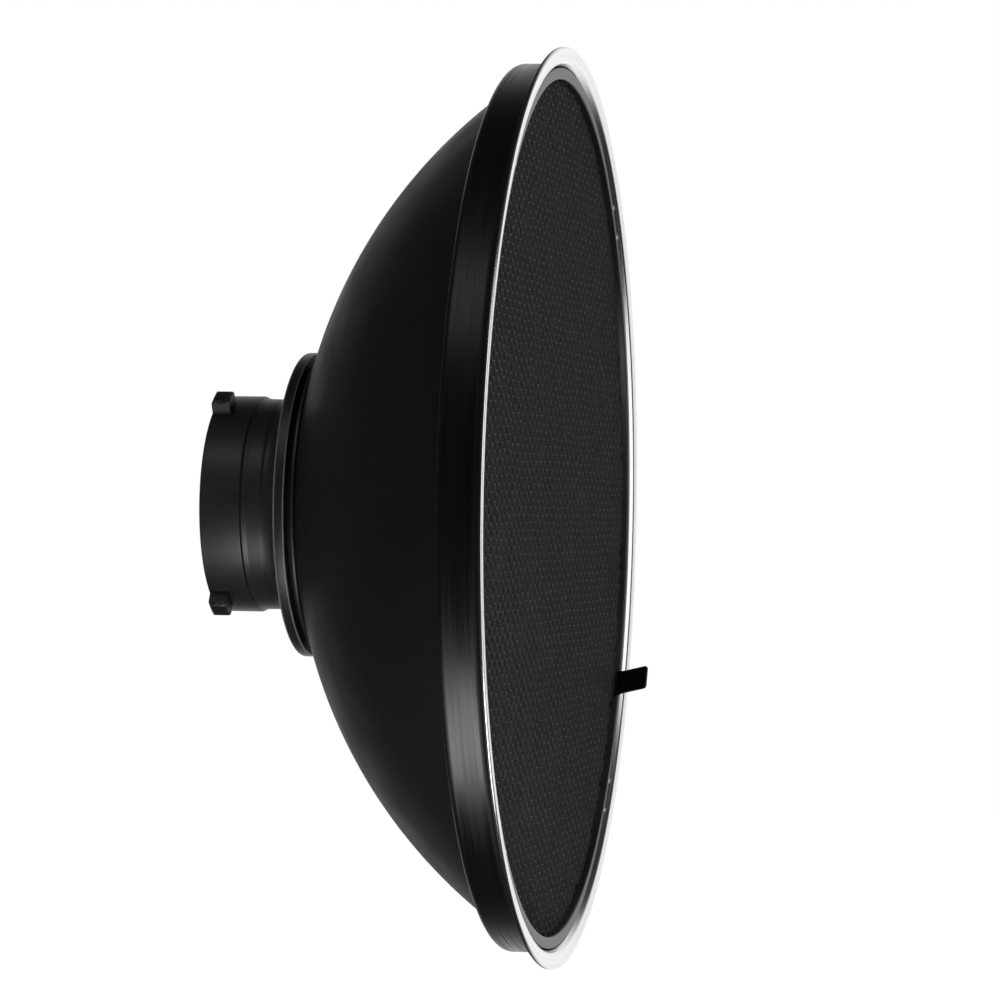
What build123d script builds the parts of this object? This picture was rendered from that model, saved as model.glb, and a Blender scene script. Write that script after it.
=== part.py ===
"""Beauty dish reflector with bayonet mount, inner deflector and pull-out honeycomb grid.

Frame: +X along the optical axis towards the open mouth, +Z up, millimetres.
Origin: centre of the mount tube's rear end.
Angles round the axis start at +Y and turn towards +Z.
"""

import os
from math import cos, degrees, radians, sin

from build123d import *

os.makedirs("parts", exist_ok=True)

# ---- driving dimensions -------------------------------------------------------------
lip_radius = 210.0            # outer edge of the rolled lip: a 420 mm dish
lip_x = 161.0                 # front plane of the lip
band_radius = 202.5           # outside of the straight band that houses the grid
band_rear_x = 139.4           # step between bowl and band
bowl_seat_x = 50.0            # flat rear of the bowl
bowl_centre = (269.0, 3.0)    # centre of the bowl's section arc
bowl_arc_radius = 229.9
sheet = 1.5                   # spun aluminium sheet
lip_depth = 2.2               # height of the lip's hem along the axis
lip_inner_radius = 203.6

tube_radius = 49.9            # bayonet tube
tube_wall = 2.4
tube_end_x = 19.0
tube_end_round = 1.0          # the tube's front edge rolls in to the seam
spigot_radius = 48.2          # reduced end of the tube, inside the collar
spigot_end_x = 27.2
waist_x = 21.8                # narrowest place of the collar
waist_radius = 48.9
neck_wall = 1.6
bell_end_radius = 55.9        # where the collar's bell meets the flange's rear face
flange_rear_x = 38.8
flange_front_x = 44.0
flange_radius = 70.2
flange_rear_round = 1.3
flange_front_round = 0.8
spacer_front_x = 46.9
spacer_radius = 64.0
seat_ring_radius = 69.8
hole_radius = 50.5            # opening through the spacer, seat ring and bowl
clamp_front_x = bowl_seat_x + sheet + 2.0
clamp_radius = 67.0

lug_count = 3
lug_radius = 57.0
lug_width = 10.8
lug_rear_x = 0.6
lug_length = 8.4

bolt_circle = 60.0            # three mount screws and three deflector posts share it
bolt_angles = (30.0, 150.0, 270.0)
post_angles = (90.0, 210.0, 330.0)
all_bolt_angles = bolt_angles + post_angles
m4_radius = 2.0
m4_hole = 2.15
m4_head_radius = 3.8
m4_head_height = 2.4
m4_nut_across_flats = 7.0
m4_nut_height = 3.2

deflector_x = 103.5           # rear face of the deflector at its posts
deflector_radius = 72.0
deflector_sheet = 1.2
deflector_bend = 260.0        # radius of its shallow dish
post_radius = 3.0

grid_clear = 0.4
frame_inner_radius = 195.3
frame_wall = 1.5
frame_rear_x = 141.3
frame_front_x = 158.6
core_front_x = 155.9
core_rear_x = 142.9
cell_pitch = 20.6             # three real cells of 6.87 mm drawn as one
cell_wall = 0.9
core_rim = 3.6
seam_angle = 155.0
seam_width = 0.5

clip_angles = (45.0, 135.0, 225.0, 315.0)
clip_width = 13.0
clip_foot_width = 25.0
clip_sheet = 0.5
clip_rivet_circle = 198.8
clip_rivet_pitch = 19.0       # along the arc
rivet_radius = 1.1
rivet_head_radius = 1.8
rivet_head_height = 0.6

clip_middle_x = 150.0         # where each leaf is highest
clip_end_x = 143.5

tab_angle = -26.6
tab_width = 12.0
tab_sheet = 1.4
tab_length = 19.0
tab_lean = 29.0               # degrees in towards the axis
tab_hinge_x = 157.2
anchor_width = 22.0
running_gap = 0.05

band_inner_radius = band_radius - sheet
flange_of_frame_radius = band_inner_radius - grid_clear


# ---- shared helpers -----------------------------------------------------------------
def finish(part, label):
    """Name a finished piece and write it."""
    part.label = label
    export_step(part, f"parts/{label}.step")


def meridian(angle):
    """Plane through the axis: local x is +X, local y is outward at the angle."""
    turn = radians(angle)
    return Plane(origin=(0, 0, 0), x_dir=(1, 0, 0), z_dir=(0, -sin(turn), cos(turn)))


def radial(x, radius, angle):
    """Plane facing outward: local z is outward, local x is +X."""
    turn = radians(angle)
    place = (x, radius * cos(turn), radius * sin(turn))
    return Plane(origin=place, x_dir=(1, 0, 0), z_dir=(0, cos(turn), sin(turn)))


def axial(x, radius, angle):
    """Plane facing +X at a point off the axis: local x is outward."""
    turn = radians(angle)
    outward = (0, cos(turn), sin(turn))
    return Plane(origin=(x, radius * outward[1], radius * outward[2]), x_dir=outward, z_dir=(1, 0, 0))


def make_ring(label, rear_x, front_x, inner, outer, edge=0.0, angles=()):
    """Flat ring round the axis, with M4 clearance holes on the bolt circle."""
    with BuildPart() as ring:
        with BuildSketch(Plane.YZ.offset(rear_x)):
            Circle(outer)
            Circle(inner, mode=Mode.SUBTRACT)
            for angle in angles:
                with PolarLocations(bolt_circle, 1, start_angle=angle):
                    Circle(m4_hole, mode=Mode.SUBTRACT)
        extrude(amount=front_x - rear_x)
        if edge > 0:
            rim = ring.edges().filter_by(GeomType.CIRCLE).sort_by(SortBy.RADIUS)[-2:]
            chamfer(rim, edge)
    finish(ring.part, label)


# ---- reflector: one spun shell with bowl, step, band and rolled lip --------------------
step_radius = 3.0             # corner between step and band
flare_radius = 2.6            # bend from band to lip

bowl_x, bowl_y = bowl_centre
seat_corner = bowl_y + (bowl_arc_radius**2 - (bowl_seat_x - bowl_x) ** 2) ** 0.5
step_inner = bowl_y + (bowl_arc_radius**2 - (band_rear_x - bowl_x) ** 2) ** 0.5
inner_arc = bowl_arc_radius - sheet
seat_corner_in = bowl_y + (inner_arc**2 - (bowl_seat_x + sheet - bowl_x) ** 2) ** 0.5
step_inner_in = bowl_y + (inner_arc**2 - (band_rear_x + sheet - bowl_x) ** 2) ** 0.5

with BuildPart() as reflector:
    with BuildSketch(Plane.XY):
        with BuildLine():
            hem_rear_x = lip_x - lip_depth
            rear_face = Line((bowl_seat_x, hole_radius), (bowl_seat_x, seat_corner))
            bowl_outside = RadiusArc(rear_face @ 1, (band_rear_x, step_inner), bowl_arc_radius)
            step_outside = Line(bowl_outside @ 1, (band_rear_x, band_radius - step_radius))
            corner_end = (band_rear_x + step_radius, band_radius)
            corner_outside = RadiusArc(step_outside @ 1, corner_end, step_radius)
            band_outside = Line(corner_outside @ 1, (hem_rear_x - 1.0, band_radius))
            flare_outside = RadiusArc(band_outside @ 1, (hem_rear_x, band_radius + 1.0), -1.0)
            hem_rear = Line(flare_outside @ 1, (hem_rear_x, lip_radius - lip_depth / 2))
            hem_edge = ThreePointArc(
                hem_rear @ 1,
                (lip_x - lip_depth / 2, lip_radius),
                (lip_x, lip_radius - lip_depth / 2),
            )
            lip_face = Line(hem_edge @ 1, (lip_x - 0.7, lip_inner_radius))
            flare_end = (lip_x - 0.7 - flare_radius, band_inner_radius)
            flare_inside = RadiusArc(lip_face @ 1, flare_end, flare_radius)
            corner_in = step_radius - sheet
            band_inside = Line(flare_inside @ 1, (band_rear_x + step_radius, band_inner_radius))
            corner_in_end = (band_rear_x + sheet, band_inner_radius - corner_in)
            corner_inside = RadiusArc(band_inside @ 1, corner_in_end, -corner_in)
            step_inside = Line(corner_inside @ 1, (band_rear_x + sheet, step_inner_in))
            inner_end = (bowl_seat_x + sheet, seat_corner_in)
            bowl_inside = RadiusArc(step_inside @ 1, inner_end, -inner_arc)
            rear_inside = Line(bowl_inside @ 1, (bowl_seat_x + sheet, hole_radius))
            Line(rear_inside @ 1, rear_face @ 0)
        make_face()
    revolve(axis=Axis.X)
    with BuildSketch(Plane.YZ.offset(bowl_seat_x)):
        for angle in all_bolt_angles:
            with PolarLocations(bolt_circle, 1, start_angle=angle):
                Circle(m4_hole)
    extrude(amount=sheet, mode=Mode.SUBTRACT)
finish(reflector.part, "reflector_bowl")

# ---- bayonet tube -------------------------------------------------------------------
tube_bore = tube_radius - tube_wall
lug_centre_x = lug_rear_x + lug_length / 2
lug_angles = [360.0 / lug_count * index for index in range(lug_count)]
lug_screw_radius = 1.6
lug_head_radius = 3.0
lug_head_height = 1.4

with BuildPart() as tube:
    with BuildSketch(Plane.XY):
        with BuildLine():
            Polyline(
                (0, tube_bore),
                (0, tube_radius),
                (tube_end_x, tube_radius),
                (tube_end_x, spigot_radius),
                (spigot_end_x, spigot_radius),
                (spigot_end_x, tube_bore),
                close=True,
            )
        make_face()
    revolve(axis=Axis.X)
    rear_edges = tube.edges().filter_by(GeomType.CIRCLE).group_by(Axis.X)[0]
    chamfer(rear_edges, 0.4)
    fillet(tube.edges().filter_by(GeomType.CIRCLE).sort_by(SortBy.RADIUS)[-1], tube_end_round)
    for angle in lug_angles:
        with Locations(radial(lug_centre_x, tube_bore, angle).location):
            Cylinder(
                lug_screw_radius + running_gap,
                2 * tube_wall,
                align=(Align.CENTER, Align.CENTER, Align.CENTER),
                mode=Mode.SUBTRACT,
            )
            Cone(
                lug_head_radius + running_gap,
                lug_screw_radius + running_gap,
                lug_head_height,
                align=(Align.CENTER, Align.CENTER, Align.MIN),
                mode=Mode.SUBTRACT,
            )
            Cylinder(
                lug_head_radius + running_gap,
                1.0,
                align=(Align.CENTER, Align.CENTER, Align.MAX),
                mode=Mode.SUBTRACT,
            )
finish(tube.part, "bayonet_tube")

# ---- bayonet lugs, each held by a countersunk screw from inside the tube -----------------
lug_tap_depth = 3.8

for number, angle in enumerate(lug_angles, start=1):
    with BuildPart() as lug:
        with BuildSketch(Plane.YZ.offset(lug_rear_x)):
            Circle(lug_radius)
            Circle(tube_radius, mode=Mode.SUBTRACT)
            with PolarLocations(lug_radius, 1, start_angle=angle):
                Rectangle(lug_radius / 2, lug_width, mode=Mode.INTERSECT)
        extrude(amount=lug_length)
        outer_edges = lug.faces().filter_by(GeomType.CYLINDER).sort_by(SortBy.AREA)[-1].edges()
        fillet(outer_edges, 1.4)
        with Locations(radial(lug_centre_x, tube_radius - 0.5, angle).location):
            Cylinder(
                lug_screw_radius + running_gap,
                lug_tap_depth + 0.5,
                align=(Align.CENTER, Align.CENTER, Align.MIN),
                mode=Mode.SUBTRACT,
            )
    finish(lug.part, f"bayonet_lug_{number}")

with BuildPart() as lug_screws:
    for angle in lug_angles:
        with Locations(radial(lug_centre_x, tube_bore, angle).location):
            Cone(
                lug_head_radius,
                lug_screw_radius,
                lug_head_height,
                align=(Align.CENTER, Align.CENTER, Align.MIN),
            )
            Cylinder(
                lug_screw_radius,
                tube_wall + lug_tap_depth - 0.2,
                align=(Align.CENTER, Align.CENTER, Align.MIN),
            )
            Cylinder(
                1.0,
                0.8,
                align=(Align.CENTER, Align.CENTER, Align.MIN),
                mode=Mode.SUBTRACT,
            )
finish(lug_screws.part, "lug_screws")

# ---- neck collar: slips over the tube's spigot and flares out as a bell --------------------
socket_radius = spigot_radius + running_gap
socket_end_x = spigot_end_x + 0.3
neck_bore = waist_radius - neck_wall
collar_rear_x = tube_end_x + running_gap
collar_rear_radius = tube_radius - 0.7

# the bell is an arc that is level at the waist and ends at the flange's rear face
bell_run = flange_rear_x - waist_x
bell_rise = bell_end_radius - waist_radius
bell_radius = (bell_run**2 + bell_rise**2) / (2 * bell_rise)

with BuildPart() as collar:
    with BuildSketch(Plane.XY):
        with BuildLine():
            rear_end = Line((collar_rear_x, socket_radius), (collar_rear_x, collar_rear_radius))
            shoulder = Spline(
                rear_end @ 1, (waist_x, waist_radius), tangents=[(1, -0.35), (1, 0)]
            )
            bell = RadiusArc(shoulder @ 1, (flange_rear_x, bell_end_radius), -bell_radius)
            boss = Line(bell @ 1, (flange_front_x, bell_end_radius))
            front_end = Line(boss @ 1, (flange_front_x, neck_bore))
            bore = Line(front_end @ 1, (socket_end_x, neck_bore))
            socket_end = Line(bore @ 1, (socket_end_x, socket_radius))
            Line(socket_end @ 1, rear_end @ 0)
        make_face()
    revolve(axis=Axis.X)
finish(collar.part, "neck_collar")

# ---- mount flange: plate with rounded edges, drilled for the six screws --------------------
with BuildPart() as flange:
    with BuildSketch(Plane.YZ.offset(flange_rear_x)):
        Circle(flange_radius)
        Circle(bell_end_radius, mode=Mode.SUBTRACT)
        for angle in all_bolt_angles:
            with PolarLocations(bolt_circle, 1, start_angle=angle):
                Circle(m4_hole, mode=Mode.SUBTRACT)
    extrude(amount=flange_front_x - flange_rear_x)
    rims = flange.edges().filter_by(GeomType.CIRCLE).sort_by(SortBy.RADIUS)[-2:].sort_by(Axis.X)
    fillet(rims[0], flange_rear_round)
    fillet(rims[-1], flange_front_round)
finish(flange.part, "mount_flange")

# ---- spacer, seat ring behind the bowl and clamp ring inside it --------------------------
make_ring("neck_spacer", flange_front_x, spacer_front_x, hole_radius, spacer_radius, 0.0, all_bolt_angles)
make_ring("seat_ring", spacer_front_x, bowl_seat_x, hole_radius, seat_ring_radius, 0.6, all_bolt_angles)
make_ring(
    "clamp_ring",
    bowl_seat_x + sheet,
    clamp_front_x,
    hole_radius,
    clamp_radius,
    0.4,
    all_bolt_angles,
)

# ---- mount screws, washers and nuts, and the screws that hold the deflector posts ---------
washer_height = 0.8
washer_radius = 4.4
recess_length = 4.4           # cross recess in each pan head
recess_width = 0.9
recess_depth = 1.2


def make_pan_screws(label, angles, length):
    """Pan-head M4 screws whose heads bear on the flange's rear face."""
    with BuildPart() as screws:
        for angle in angles:
            seat = axial(flange_rear_x, bolt_circle, angle)
            with Locations(seat.location):
                Cylinder(m4_radius, length, align=(Align.CENTER, Align.CENTER, Align.MIN))
                Cylinder(m4_head_radius, m4_head_height, align=(Align.CENTER, Align.CENTER, Align.MAX))
        head_rims = screws.edges().filter_by(GeomType.CIRCLE).group_by(Axis.X)[0]
        fillet(head_rims, 1.2)
        for angle in angles:
            with Locations(axial(flange_rear_x - m4_head_height, bolt_circle, angle).location):
                Box(recess_length, recess_width, 2 * recess_depth, mode=Mode.SUBTRACT)
                Box(recess_width, recess_length, 2 * recess_depth, mode=Mode.SUBTRACT)
    finish(screws.part, label)


def make_discs(label, angles, x, height, outer, inner):
    """A washer on each of the given screws or posts."""
    with BuildPart() as discs:
        for angle in angles:
            with BuildSketch(axial(x, bolt_circle, angle)):
                Circle(outer)
                Circle(inner, mode=Mode.SUBTRACT)
        extrude(amount=height)
    finish(discs.part, label)


nut_seat_x = clamp_front_x + washer_height
stack = nut_seat_x + m4_nut_height - flange_rear_x
make_pan_screws("mount_screws", bolt_angles, stack + 1.5)
make_discs("mount_washers", bolt_angles, clamp_front_x, washer_height, washer_radius, m4_hole)

with BuildPart() as nuts:
    for angle in bolt_angles:
        with BuildSketch(axial(nut_seat_x, bolt_circle, angle)):
            RegularPolygon(m4_nut_across_flats / 2, 6, major_radius=False)
            Circle(m4_radius + running_gap, mode=Mode.SUBTRACT)
    extrude(amount=m4_nut_height)
finish(nuts.part, "mount_nuts")

post_tap_depth = 9.0
make_pan_screws("post_screws", post_angles, clamp_front_x - flange_rear_x + post_tap_depth - 1.0)

# ---- deflector on three posts, under thumb nuts ------------------------------------------
stud_length = 9.0

for number, angle in enumerate(post_angles, start=1):
    with BuildPart() as post:
        with BuildSketch(axial(clamp_front_x, bolt_circle, angle)):
            Circle(post_radius)
        extrude(amount=deflector_x - clamp_front_x)
        with BuildSketch(axial(deflector_x, bolt_circle, angle)):
            Circle(m4_radius)
        extrude(amount=stud_length)
        with BuildSketch(axial(clamp_front_x, bolt_circle, angle)):
            Circle(m4_radius + running_gap)
        extrude(amount=post_tap_depth, mode=Mode.SUBTRACT)
    finish(post.part, f"deflector_post_{number}")

with BuildPart() as deflector:
    with BuildSketch(Plane.XY):
        with BuildLine():
            flat_inner = bolt_circle - 6.0
            crown_depth = deflector_bend - (deflector_bend**2 - flat_inner**2) ** 0.5
            crown_x = deflector_x + crown_depth
            rim_front_x = deflector_x + deflector_sheet
            axis_line = Line((crown_x, 0), (crown_x + deflector_sheet, 0))
            crown_front = RadiusArc(axis_line @ 1, (rim_front_x, flat_inner), -deflector_bend)
            flat_front = Line(crown_front @ 1, (rim_front_x, deflector_radius))
            edge = Line(flat_front @ 1, (deflector_x, deflector_radius))
            flat_rear = Line(edge @ 1, (deflector_x, flat_inner))
            RadiusArc(flat_rear @ 1, axis_line @ 0, deflector_bend)
        make_face()
    revolve(axis=Axis.X)
    with BuildSketch(Plane.YZ.offset(deflector_x)):
        for angle in post_angles:
            with PolarLocations(bolt_circle, 1, start_angle=angle):
                Circle(m4_hole)
    extrude(amount=deflector_sheet, mode=Mode.SUBTRACT)
finish(deflector.part, "deflector_disc")

washer_x = deflector_x + deflector_sheet
nylon_height = 1.0
thumb_nut_radius = 5.0
thumb_nut_height = 5.5
make_discs("deflector_washers", post_angles, washer_x, nylon_height, washer_radius, m4_hole)

with BuildPart() as thumb_nuts:
    for angle in post_angles:
        with BuildSketch(axial(washer_x + nylon_height, bolt_circle, angle)):
            Circle(thumb_nut_radius)
            Circle(m4_radius + running_gap, mode=Mode.SUBTRACT)
    extrude(amount=thumb_nut_height)
    chamfer(thumb_nuts.edges().filter_by(GeomType.CIRCLE).group_by(Axis.X)[-1], 0.5)
finish(thumb_nuts.part, "deflector_thumb_nuts")

# ---- grid frame: rolled angle hoop with a butt seam and riveted splice --------------------
frame_outer_radius = frame_inner_radius + frame_wall
half_pitch = degrees(clip_rivet_pitch / 2 / clip_rivet_circle)
clip_rivet_angles = [angle + side * half_pitch for angle in clip_angles for side in (-1, 1)]
splice_xs = (145.5, 153.0)
splice_width = 12.5
splice_offset = 2.2           # degrees from the seam to its rivets
splice_angles = (seam_angle - splice_offset, seam_angle + splice_offset)
splice_height = 1.0
anchor_rivet_x = 148.0
anchor_rivet_offset = 2.2
anchor_rivet_angles = (tab_angle - anchor_rivet_offset, tab_angle + anchor_rivet_offset)


def drill_web(places):
    """Rivet holes through the hoop's wall, each given as (x, angle)."""
    for x, angle in places:
        with Locations(radial(x, frame_inner_radius, angle).location):
            Cylinder(rivet_radius + running_gap, 8.0, mode=Mode.SUBTRACT)


splice_places = [(x, angle) for x in splice_xs for angle in splice_angles]
anchor_places = [(anchor_rivet_x, angle) for angle in anchor_rivet_angles]

with BuildPart() as frame:
    with BuildSketch(Plane.XY):
        with BuildLine():
            flange_rear = frame_front_x - frame_wall
            Polyline(
                (frame_rear_x, frame_inner_radius),
                (frame_front_x, frame_inner_radius),
                (frame_front_x, flange_of_frame_radius),
                (flange_rear, flange_of_frame_radius),
                (flange_rear, frame_outer_radius),
                (frame_rear_x, frame_outer_radius),
                close=True,
            )
        make_face()
    revolve(axis=Axis.X)
    with Locations(radial(frame_front_x - 10.0, frame_inner_radius, seam_angle).location):
        Box(40.0, seam_width, 20.0, mode=Mode.SUBTRACT)
    with BuildSketch(Plane.YZ.offset(flange_rear)):
        for angle in clip_rivet_angles:
            with PolarLocations(clip_rivet_circle, 1, start_angle=angle):
                Circle(rivet_radius + running_gap)
    extrude(amount=frame_wall, mode=Mode.SUBTRACT)
    drill_web(splice_places + anchor_places)
finish(frame.part, "grid_frame")

splice_half = 4.2             # degrees each side of the seam
with BuildPart() as splice:
    with BuildSketch(meridian(seam_angle - splice_half)):
        with Locations(((splice_xs[0] + splice_xs[1]) / 2, frame_outer_radius + splice_height / 2)):
            Rectangle(splice_width, splice_height - 2 * running_gap)
    revolve(axis=Axis.X, revolution_arc=2 * splice_half)
    drill_web(splice_places)
finish(splice.part, "frame_splice")


def make_web_rivets(label, places, inner, outer):
    """Rivets through the hoop's wall, headed at both given radii."""
    with BuildPart() as rivets:
        for x, angle in places:
            with Locations(radial(x, inner, angle).location):
                Cylinder(rivet_radius, outer - inner, align=(Align.CENTER, Align.CENTER, Align.MIN))
            with Locations(radial(x, outer, angle).location):
                Cylinder(
                    rivet_head_radius,
                    rivet_head_height,
                    align=(Align.CENTER, Align.CENTER, Align.MIN),
                )
    finish(rivets.part, label)


core_radius = frame_inner_radius - 0.2
make_web_rivets("splice_rivets", splice_places, frame_inner_radius, frame_outer_radius + splice_height)

# ---- honeycomb core and the ring behind it ------------------------------------------------
anchor_depth = tab_sheet + 0.6


def cell_centres():
    """Centres of the whole cells that fit inside the core's rim, flats at top and bottom."""
    column_step = cell_pitch * 3**0.5 / 2
    reach = core_radius - core_rim - cell_pitch / 3**0.5
    half_count = int(core_radius / column_step) + 1
    centres = []
    for column in range(-half_count, half_count + 1):
        shift = cell_pitch / 2 * (column % 2)
        for row in range(-half_count, half_count + 1):
            place = (column * column_step, row * cell_pitch + shift)
            if (place[0] ** 2 + place[1] ** 2) ** 0.5 < reach:
                centres.append(place)
    return centres


with BuildPart() as core:
    with BuildSketch(Plane.YZ.offset(core_rear_x)):
        Circle(core_radius)
        with Locations(*cell_centres()):
            RegularPolygon((cell_pitch - cell_wall) / 2, 6, major_radius=False, mode=Mode.SUBTRACT)
        with PolarLocations(core_radius, 1, start_angle=tab_angle):
            Rectangle(2 * anchor_depth, anchor_width + 2.0, mode=Mode.SUBTRACT)
    extrude(amount=core_front_x - core_rear_x)
finish(core.part, "honeycomb_core")

retaining_inner_radius = 189.5
make_ring(
    "core_retaining_ring", frame_rear_x + 0.2, core_rear_x, retaining_inner_radius, core_radius
)

# ---- spring clips on the frame's flange, which press on the band --------------------------
for number, angle in enumerate(clip_angles, start=1):
    foot_front = frame_front_x - frame_wall
    foot_rear = foot_front - clip_sheet
    with BuildPart() as clip:
        with BuildSketch(Plane.YZ.offset(foot_rear)):
            Circle(flange_of_frame_radius - 0.1)
            Circle(frame_outer_radius + 0.2, mode=Mode.SUBTRACT)
            with PolarLocations(clip_rivet_circle, 1, start_angle=angle):
                Rectangle(12.0, clip_foot_width, mode=Mode.INTERSECT)
            for side in (-1, 1):
                with PolarLocations(clip_rivet_circle, 1, start_angle=angle + side * half_pitch):
                    Circle(rivet_radius + running_gap, mode=Mode.SUBTRACT)
        extrude(amount=clip_sheet)
        with BuildSketch(meridian(angle)):
            with BuildLine():
                low = frame_outer_radius + 0.3
                high = band_inner_radius - 0.2
                leaf_end = (clip_end_x, low + 1.0)
                outer_arc = ThreePointArc((foot_front, low + clip_sheet), (clip_middle_x, high), leaf_end)
                tip = Line(outer_arc @ 1, (clip_end_x, low + 1.0 - clip_sheet))
                back = ThreePointArc(tip @ 1, (clip_middle_x, high - clip_sheet), (foot_rear, low))
                root = Line(back @ 1, (foot_front, low))
                Line(root @ 1, outer_arc @ 0)
            make_face()
        extrude(amount=clip_width / 2, both=True)
    finish(clip.part, f"grid_clip_{number}")

with BuildPart() as clip_rivets:
    for angle in clip_rivet_angles:
        shank_rear = frame_front_x - frame_wall - clip_sheet
        with Locations(axial(shank_rear, clip_rivet_circle, angle).location):
            Cylinder(
                rivet_radius,
                frame_front_x - shank_rear,
                align=(Align.CENTER, Align.CENTER, Align.MIN),
            )
        with Locations(axial(shank_rear, clip_rivet_circle, angle).location):
            Cylinder(
                rivet_head_radius - 0.2,
                rivet_head_height,
                align=(Align.CENTER, Align.CENTER, Align.MAX),
            )
        with Locations(axial(frame_front_x, clip_rivet_circle, angle).location):
            Cylinder(
                rivet_head_radius - 0.2,
                rivet_head_height,
                align=(Align.CENTER, Align.CENTER, Align.MIN),
            )
finish(clip_rivets.part, "clip_rivets")

# ---- pull tab: anchor between core and hoop, and the strip that folds at its root ----------
anchor_outer = frame_inner_radius - running_gap
hinge_r = anchor_outer - tab_sheet / 2
barrel = tab_sheet / 2
anchor_front_x = tab_hinge_x - barrel - running_gap
anchor_half = 3.2             # degrees each side of the tab

with BuildPart() as anchor:
    with BuildSketch(meridian(tab_angle - anchor_half)):
        with Locations(((core_rear_x + anchor_front_x) / 2, hinge_r)):
            Rectangle(anchor_front_x - core_rear_x, tab_sheet)
    revolve(axis=Axis.X, revolution_arc=2 * anchor_half)
    drill_web(anchor_places)
finish(anchor.part, "tab_anchor")

make_web_rivets("tab_rivets", anchor_places, hinge_r - tab_sheet / 2, frame_outer_radius)

with BuildPart() as tab:
    with BuildSketch(meridian(tab_angle)) as tab_profile:
        with Locations((tab_hinge_x, hinge_r - 0.3)):
            Circle(barrel)
            with Locations(Location((0, 0, 0), (0, 0, -tab_lean))):
                with Locations((tab_length / 2, 0)):
                    Rectangle(tab_length, tab_sheet)
    extrude(amount=tab_width / 2, both=True)
    end_face = tab.faces().filter_by(GeomType.PLANE).sort_by(Axis.X)[-1]
    corners = end_face.edges().sort_by(SortBy.LENGTH)[:2]
    fillet(corners, 1.5)
finish(tab.part, "pull_tab")
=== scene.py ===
import math

import bmesh
import bpy
from mathutils import Matrix, Vector


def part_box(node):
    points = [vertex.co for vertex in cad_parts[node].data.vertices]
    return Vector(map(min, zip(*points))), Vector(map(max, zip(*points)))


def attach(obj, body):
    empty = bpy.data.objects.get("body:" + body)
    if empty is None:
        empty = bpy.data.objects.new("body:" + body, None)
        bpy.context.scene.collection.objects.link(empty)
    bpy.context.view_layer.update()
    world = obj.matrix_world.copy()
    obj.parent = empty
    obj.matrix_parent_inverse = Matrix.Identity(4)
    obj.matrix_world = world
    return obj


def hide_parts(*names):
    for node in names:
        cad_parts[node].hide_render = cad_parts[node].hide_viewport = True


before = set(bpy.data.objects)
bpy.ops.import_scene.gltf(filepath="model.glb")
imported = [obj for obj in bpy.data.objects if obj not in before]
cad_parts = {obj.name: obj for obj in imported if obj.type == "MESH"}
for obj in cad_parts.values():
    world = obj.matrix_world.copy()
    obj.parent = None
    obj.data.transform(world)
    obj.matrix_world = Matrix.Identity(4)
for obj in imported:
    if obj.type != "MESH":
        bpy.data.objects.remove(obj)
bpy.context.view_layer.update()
mm = 0.001


def addNode(tree, kind, inputs=None, **settings):
    node = tree.nodes.new(kind)
    for name, value in settings.items():
        setattr(node, name, value)
    for name, value in (inputs or {}).items():
        if isinstance(value, bpy.types.NodeSocket):
            tree.links.new(value, node.inputs[name])
        else:
            node.inputs[name].default_value = value
    return node


def mathIn(tree):
    # a short way to add math nodes to one tree
    def calc(operation, *values):
        return addNode(tree, "ShaderNodeMath", dict(enumerate(values)), operation=operation).outputs[0]

    return calc


def linear(hexColour):
    # an sRGB hex value as the linear colour that a shader expects
    parts = [int(hexColour[i:i + 2], 16) / 255 for i in (1, 3, 5)]
    return [c / 12.92 if c <= 0.04045 else ((c + 0.055) / 1.055) ** 2.4 for c in parts] + [1.0]


def reachOf(node):
    # lowest x, highest x and outer radius of a turned CAD node, in millimetres
    low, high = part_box(node)
    return low.x / mm, high.x / mm, max(high.y, high.z) / mm


def roundCorners(corners, arcSteps=6):
    # takes the corners of a closed outline as (x, r, fillet radius, material index),
    # and gives its points as (x, r, wear and highlight weight, material index)
    count = len(corners)
    area = sum(
        corners[i - 1][0] * corners[i][1] - corners[i][0] * corners[i - 1][1] for i in range(count)
    )
    outline = []
    for i, (x, r, fillet, part) in enumerate(corners):
        here = Vector((x, r))
        before = Vector(corners[i - 1][:2]) - here
        after = Vector(corners[(i + 1) % count][:2]) - here
        if fillet == 0:
            outline.append((x, r, 0.0, part))
            continue
        halfAngle = before.angle(after) / 2
        before.normalize()
        after.normalize()
        reach = fillet / math.tan(halfAngle)
        centre = here + (before + after).normalized() * fillet / math.sin(halfAngle)
        first = here + before * reach - centre
        last = here + after * reach - centre
        outwardBend = (-before).cross(after) * area > 0      # only outward corners get rubbed
        for step in range(arcSteps + 1):
            share = step / arcSteps
            point = centre + first.slerp(last, share) * fillet
            # the weight peaks mid-arc; it is rubbed wear on most parts, and a painted rim highlight on the
            # flange
            wearAndHighlight = 1 - abs(2 * share - 1) if outwardBend else 0.0
            outline.append((point.x, point.y, wearAndHighlight, part))
    return outline


def arcRun(start, end, radius, steps, part=0):
    # points strictly between start and end on an arc; a positive radius bulges to the left of travel
    start, end = Vector(start), Vector(end)
    chord = end - start
    normal = Vector((-chord.y, chord.x)).normalized()
    depth = math.sqrt(radius ** 2 - (chord.length / 2) ** 2)
    centre = (start + end) / 2 - normal * math.copysign(depth, radius)
    first, last = start - centre, end - centre
    run = []
    for step in range(1, steps):
        point = centre + first.slerp(last, step / steps) * abs(radius)
        run.append((point.x, point.y, 0, part))
    return run


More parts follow.
